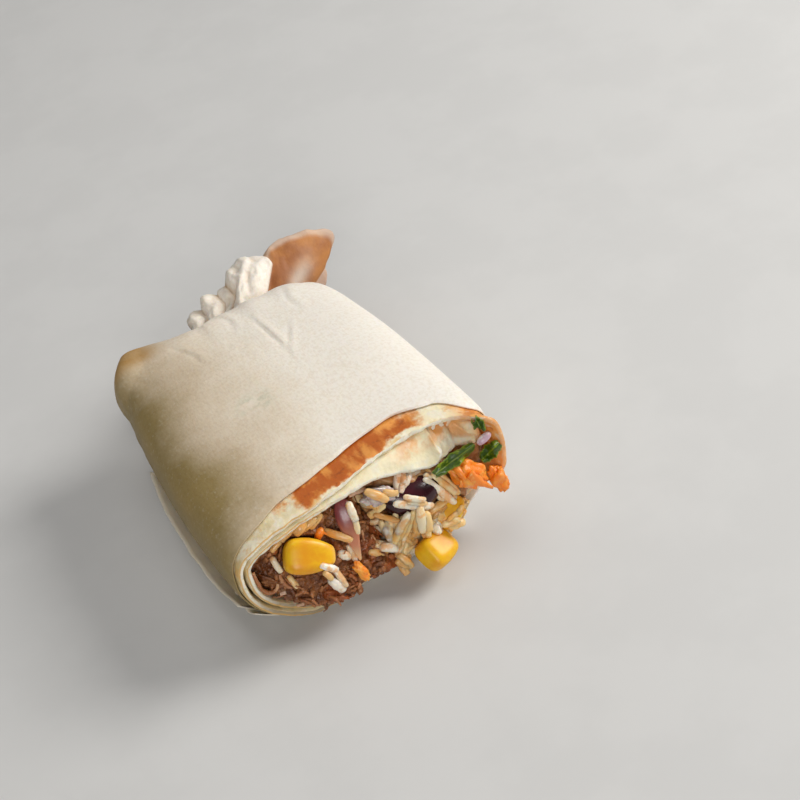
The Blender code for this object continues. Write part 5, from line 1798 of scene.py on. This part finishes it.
def onionShape(unit, half):
    taper = 1.45 - 1.0 * smooth(unit.x, -0.8, 1.0) if half.x > 4 else 0.85
    curve = 0.125 * half.x * (1 - unit.x ** 2)
    spot = boxy(unit, 0.8)
    return Vector((unit.x * half.x, spot.y * half.y * taper, spot.z * half.z * taper + curve))


looseShape = {
    "segments": 48,
    "rings": 30,
    "shapes": {"corn": cornShape, "kidney": beanShape, "carrot": chunkShape, "sauce": chunkShape,
               "onion": onionShape},
}


def pieceLabel(name):   # corn_left becomes cornLeft
    first, *rest = name.split("_")
    return first + "".join(part.capitalize() for part in rest)


def makeLoose(name, material):
    size, centre, along, outward = loosePieces[name]
    shape = looseShape["shapes"][name.split("_")[0]]
    turn = frameFrom(along, outward)
    half = Vector(size) * 0.5
    rings, count = looseShape["rings"], looseShape["segments"]
    points, units = [], []
    for k in range(rings + 1):
        lean = math.pi * k / rings
        for i in range(1 if k in (0, rings) else count):
            angle = 2 * math.pi * i / count
            across, up = math.sin(lean) * math.cos(angle), math.sin(lean) * math.sin(angle)
            unit = Vector((-math.cos(lean), across, up))
            points.append(tuple(turn @ shape(unit, half) + Vector(centre)))
            units.append(unit)
    faces = []
    tip = 1 + (rings - 2) * count
    for i in range(count):
        j = (i + 1) % count
        faces.append((0, 1 + j, 1 + i))
        faces.append((tip + i, tip + j, len(points) - 1))
        for k in range(rings - 2):
            low, high = 1 + k * count, 1 + (k + 1) * count
            faces.append((low + i, low + j, high + j, high + i))
    item = meshPiece(pieceLabel(name), points, faces, {"local": units})
    return ready(item, name, material)


leafShape = {"columns": 46, "rows": 14, "wall": 0.28}


def makeLeaf(name, material):
    length, width, centre, along, outward = looseLeaves[name]
    turn = frameFrom(along, outward)
    columns, rows = leafShape["columns"], leafShape["rows"]
    top, bottom, ribs = [], [], []
    for i in range(columns + 1):
        u = i / columns
        outline = (0.35 + 0.65 * math.sin(math.pi * (0.08 + 0.84 * u))) * 0.5 * width
        outline *= 1 + 0.09 * math.sin(17 * u + length) + 0.06 * math.sin(41 * u)
        for j in range(rows + 1):
            v = 2 * j / rows - 1
            wave = 0.5 * math.sin(5 * u + 2.4 * v + width) + 0.45 * math.cos(9 * u - 1.4 * v)
            wave += 0.2 * math.sin(19 * u + 3 * v) * abs(v) - 0.2 * math.exp(-(v / 0.15) ** 2) - 0.5 * v * v
            spot = Vector(((u - 0.5) * length, v * outline, wave))
            rise = Vector((0, 0, 0.5 * leafShape["wall"]))
            top.append(tuple(turn @ (spot + rise) + Vector(centre)))
            bottom.append(tuple(turn @ (spot - rise) + Vector(centre)))
            ribs.append(Vector((u, v, 0.0)))
    item = meshPiece(pieceLabel(name), top + bottom, slabFaces(columns, rows), {"local": ribs + ribs})
    return ready(item, name, material)


vegetableLook = {
    "cornYellow": (0.86, 0.50, 0.010),
    "cornDeep": (0.78, 0.33, 0.006),
    "cornPale": (0.92, 0.74, 0.32),
    "bean": (0.022, 0.0030, 0.0050),
    "beanLight": (0.055, 0.008, 0.014),
    "onionPurple": (0.26, 0.060, 0.065),
    "onionPink": (0.56, 0.215, 0.115),
    "onionTip": (0.80, 0.50, 0.25),
    "onionPale": (0.58, 0.40, 0.47),
    "onionWhite": (0.88, 0.82, 0.78),
    "carrot": (0.94, 0.245, 0.010),
    "carrotPale": (0.97, 0.46, 0.075),
    "leaf": (0.035, 0.082, 0.0015),
    "leafLight": (0.29, 0.37, 0.008),
    "sauce": (0.60, 0.53, 0.50),
    "sauceDark": (0.34, 0.26, 0.22),
}


def makeVegetableLooks():
    look = vegetableLook
    made = {}
    material, tree, shader = newLook("sweetcorn", {
        "Roughness": 0.4, "Specular IOR Level": 0.4, "Subsurface Weight": 0.25,
        "Subsurface Radius": (1.0, 0.6, 0.08), "Subsurface Scale": 0.0012, "Coat Weight": 0.08,
        "Coat Roughness": 0.2})
    colour = blend(tree, mottle(tree, 170.0, 0.35, 0.65), look["cornYellow"], look["cornDeep"])
    tip = times(tree, rampMask(tree, localPart(tree, "X"), 0.6, 1.0), 0.3)
    colour = blend(tree, tip, colour, look["cornPale"])
    feed(tree, shader.inputs["Base Color"], colour)
    relief(tree, shader, 500.0, 0.0001, 0.35)
    made["corn"] = material
    material, tree, shader = newLook("kidney bean", {
        "Roughness": 0.24, "Specular IOR Level": 0.4, "Subsurface Weight": 0.03, "Subsurface Scale": 0.001,
        "Coat Weight": 0.15, "Coat Roughness": 0.12})
    colour = blend(tree, mottle(tree, 150.0, 0.4, 0.7), look["bean"], look["beanLight"])
    feed(tree, shader.inputs["Base Color"], colour)
    relief(tree, shader, 260.0, 0.00016, 0.35)
    made["kidney"] = material
    material, tree, shader = newLook("red onion", {
        "Roughness": 0.3, "Subsurface Weight": 0.4, "Subsurface Radius": (1.0, 0.5, 0.5),
        "Subsurface Scale": 0.0014, "Coat Weight": 0.25, "Coat Roughness": 0.15})
    down = rampMask(tree, localPart(tree, "X"), -0.55, 0.25)
    colour = blend(tree, down, look["onionPurple"], look["onionPink"])
    colour = blend(tree, rampMask(tree, localPart(tree, "X"), 0.35, 0.95), colour, look["onionTip"])
    edge = times(tree, rampMask(tree, localPart(tree, "Y"), 0.25, 0.8), 0.7)
    colour = blend(tree, edge, colour, look["onionPink"])
    feed(tree, shader.inputs["Base Color"], colour)
    relief(tree, shader, 800.0, 0.00012, 0.5, 0.3)
    made["onion"] = material
    material, tree, shader = newLook("pale onion", {
        "Roughness": 0.32, "Subsurface Weight": 0.35, "Subsurface Radius": (1.0, 0.6, 0.7),
        "Subsurface Scale": 0.001, "Coat Weight": 0.12, "Coat Roughness": 0.2})
    paler = mathStep(tree, "ADD", localPart(tree, "Y"), mottle(tree, 500.0, 0.3, 0.7))
    white = rampMask(tree, paler, 0.7, 1.5)
    feed(tree, shader.inputs["Base Color"], blend(tree, white, look["onionPale"], look["onionWhite"]))
    made["onionPale"] = material
    material, tree, shader = newLook("cooked carrot", {
        "Roughness": 0.34, "Subsurface Weight": 0.35, "Subsurface Radius": (1.0, 0.4, 0.1),
        "Subsurface Scale": 0.0018, "Coat Weight": 0.1, "Coat Roughness": 0.25})
    colour = blend(tree, mottle(tree, 300.0, 0.46, 0.72), look["carrot"], look["carrotPale"])
    feed(tree, shader.inputs["Base Color"], colour)
    relief(tree, shader, 800.0, 0.0003, 0.7, 0.5)
    made["carrot"] = material
    material, tree, shader = newLook("green leaf", {
        "Roughness": 0.34, "Specular IOR Level": 0.35, "Subsurface Weight": 0.08,
        "Subsurface Radius": (0.3, 1.0, 0.1), "Subsurface Scale": 0.0006, "Coat Weight": 0.1,
        "Coat Roughness": 0.15})
    # A paler midrib, and paler edges as painted light where the leaf's edges catch it.
    rib = rampMask(tree, mathStep(tree, "ABSOLUTE", localPart(tree, "Y")), 0.16, 0.02)
    edge = rampMask(tree, mathStep(tree, "ABSOLUTE", localPart(tree, "Y")), 0.7, 1.0)
    colour = blend(tree, mottle(tree, 360.0, 0.5, 0.72), look["leaf"], look["leafLight"])
    ribAndLitEdges = mathStep(tree, "MULTIPLY", mathStep(tree, "ADD", rib, edge), 0.45, clamp=True)
    colour = blend(tree, ribAndLitEdges, colour, look["leafLight"])
    feed(tree, shader.inputs["Base Color"], colour)
    relief(tree, shader, 900.0, 0.00022, 0.7)
    made["leaf"] = material
    material, tree, shader = newLook("pale sauce", {
        "Roughness": 0.3, "Subsurface Weight": 0.4, "Subsurface Scale": 0.0012, "Coat Weight": 0.4,
        "Coat Roughness": 0.15})
    colour = blend(tree, mottle(tree, 320.0, 0.42, 0.62), look["sauce"], look["sauceDark"])
    feed(tree, shader.inputs["Base Color"], colour)
    relief(tree, shader, 500.0, 0.0003, 0.6)
    made["sauce"] = material
    return made


# Camera, lights and floor

viewShape = {   # the eye in millimetres from the cut, the angles in degrees
    "eye": (-93.7, -266.4, 286.0),
    "turned": 22.0,
    "lifted": 40.0,
    "tilted": 14.0,
    "lens": 81.0,
    "sensor": 36.0,
}
lightShape = {   # place in metres, size, power, colour
    "window": ((0.72, -0.12, 0.52), 0.45, 6.4, (1.0, 0.985, 0.96)),
    "overhead": ((0.0, 0.30, 0.85), 0.7, 2.0, (1.0, 0.99, 0.98)),
    "front": ((-0.30, -0.75, 0.45), 0.4, 3.2, (1.0, 0.985, 0.97)),
}
floorLook = {"colour": (0.66, 0.655, 0.64), "size": 4.0}
roomLook = {"colour": (0.95, 0.97, 1.0), "strength": 0.09}


def viewAxes():   # the camera's right, up and back
    turned, lifted, tilted = (math.radians(viewShape[name]) for name in ("turned", "lifted", "tilted"))
    level = Vector((math.cos(turned), -math.sin(turned), 0.0))
    away = Vector((math.sin(turned), math.cos(turned), 0.0))
    back = Vector((0.0, 0.0, math.sin(lifted))) - away * math.cos(lifted)
    right = level * math.cos(tilted) - back.cross(level) * math.sin(tilted)
    return right, back.cross(right), back


def makeStage():
    scene = bpy.context.scene
    camera = bpy.data.objects.new("camera", bpy.data.cameras.new("camera"))
    scene.collection.objects.link(camera)
    camera.data.lens, camera.data.sensor_width = viewShape["lens"], viewShape["sensor"]
    camera.data.clip_start, camera.data.clip_end = 0.01, 20.0
    turn = Matrix(viewAxes()).transposed().to_4x4()
    eye = (Vector(viewShape["eye"]) + rollPlace) * mm
    camera.matrix_world = Matrix.Translation(eye) @ turn
    scene.camera = camera
    for name, (place, size, power, colour) in lightShape.items():
        lamp = bpy.data.lights.new(name, "AREA")
        lamp.shape, lamp.size, lamp.energy, lamp.color = "DISK", size, power, colour
        holder = bpy.data.objects.new(name, lamp)
        scene.collection.objects.link(holder)
        holder.location = place
        holder.rotation_euler = (-Vector(place)).to_track_quat("-Z", "Y").to_euler()
    world = bpy.data.worlds.new("studio")
    world.use_nodes = True
    background = world.node_tree.nodes["Background"]
    background.inputs["Color"].default_value = (*roomLook["colour"], 1.0)
    background.inputs["Strength"].default_value = roomLook["strength"]
    scene.world = world
    half = floorLook["size"] / 2
    mesh = bpy.data.meshes.new("floor")
    corners = [(-half, -half, 0), (half, -half, 0), (half, half, 0), (-half, half, 0)]
    mesh.from_pydata(corners, [], [(0, 1, 2, 3)])
    floor = bpy.data.objects.new("floor", mesh)
    scene.collection.objects.link(floor)
    material, tree, shader = newLook("studio floor", {"Roughness": 0.75, "Specular IOR Level": 0.2})
    feed(tree, shader.inputs["Base Color"], blend(tree, mottle(tree, 30.0), floorLook["colour"],
                                                  tuple(part * 0.97 for part in floorLook["colour"])))
    floor.data.materials.append(material)
    scene.view_settings.view_transform = "Standard"


makeStage()
print("stage ready")
makePaper()
print("paper ready")
makeTortilla()
print("tortilla ready")
ground = makeBeef()
grainStore, grainLook, riceItems = makeRice()
ground += riceItems
looks = makeVegetableLooks()
for name in loosePieces:
    kind = name.split("_")[0]
    look = looks["onionPale" if name == "onion_bit" else kind]
    ground.append(makeLoose(name, look))
for name in looseLeaves:
    makeLeaf(name, looks["leaf"])
print("loose pieces ready")
surface = groundOf(ground)
makeShownGrains(grainStore, grainLook, surface)
makeBits("paleShred", surface)
makeBits("carrotShreds", surface)
makeBits("beefCurls", surface)
makeBits("fatBits", surface)
print("small bits ready")
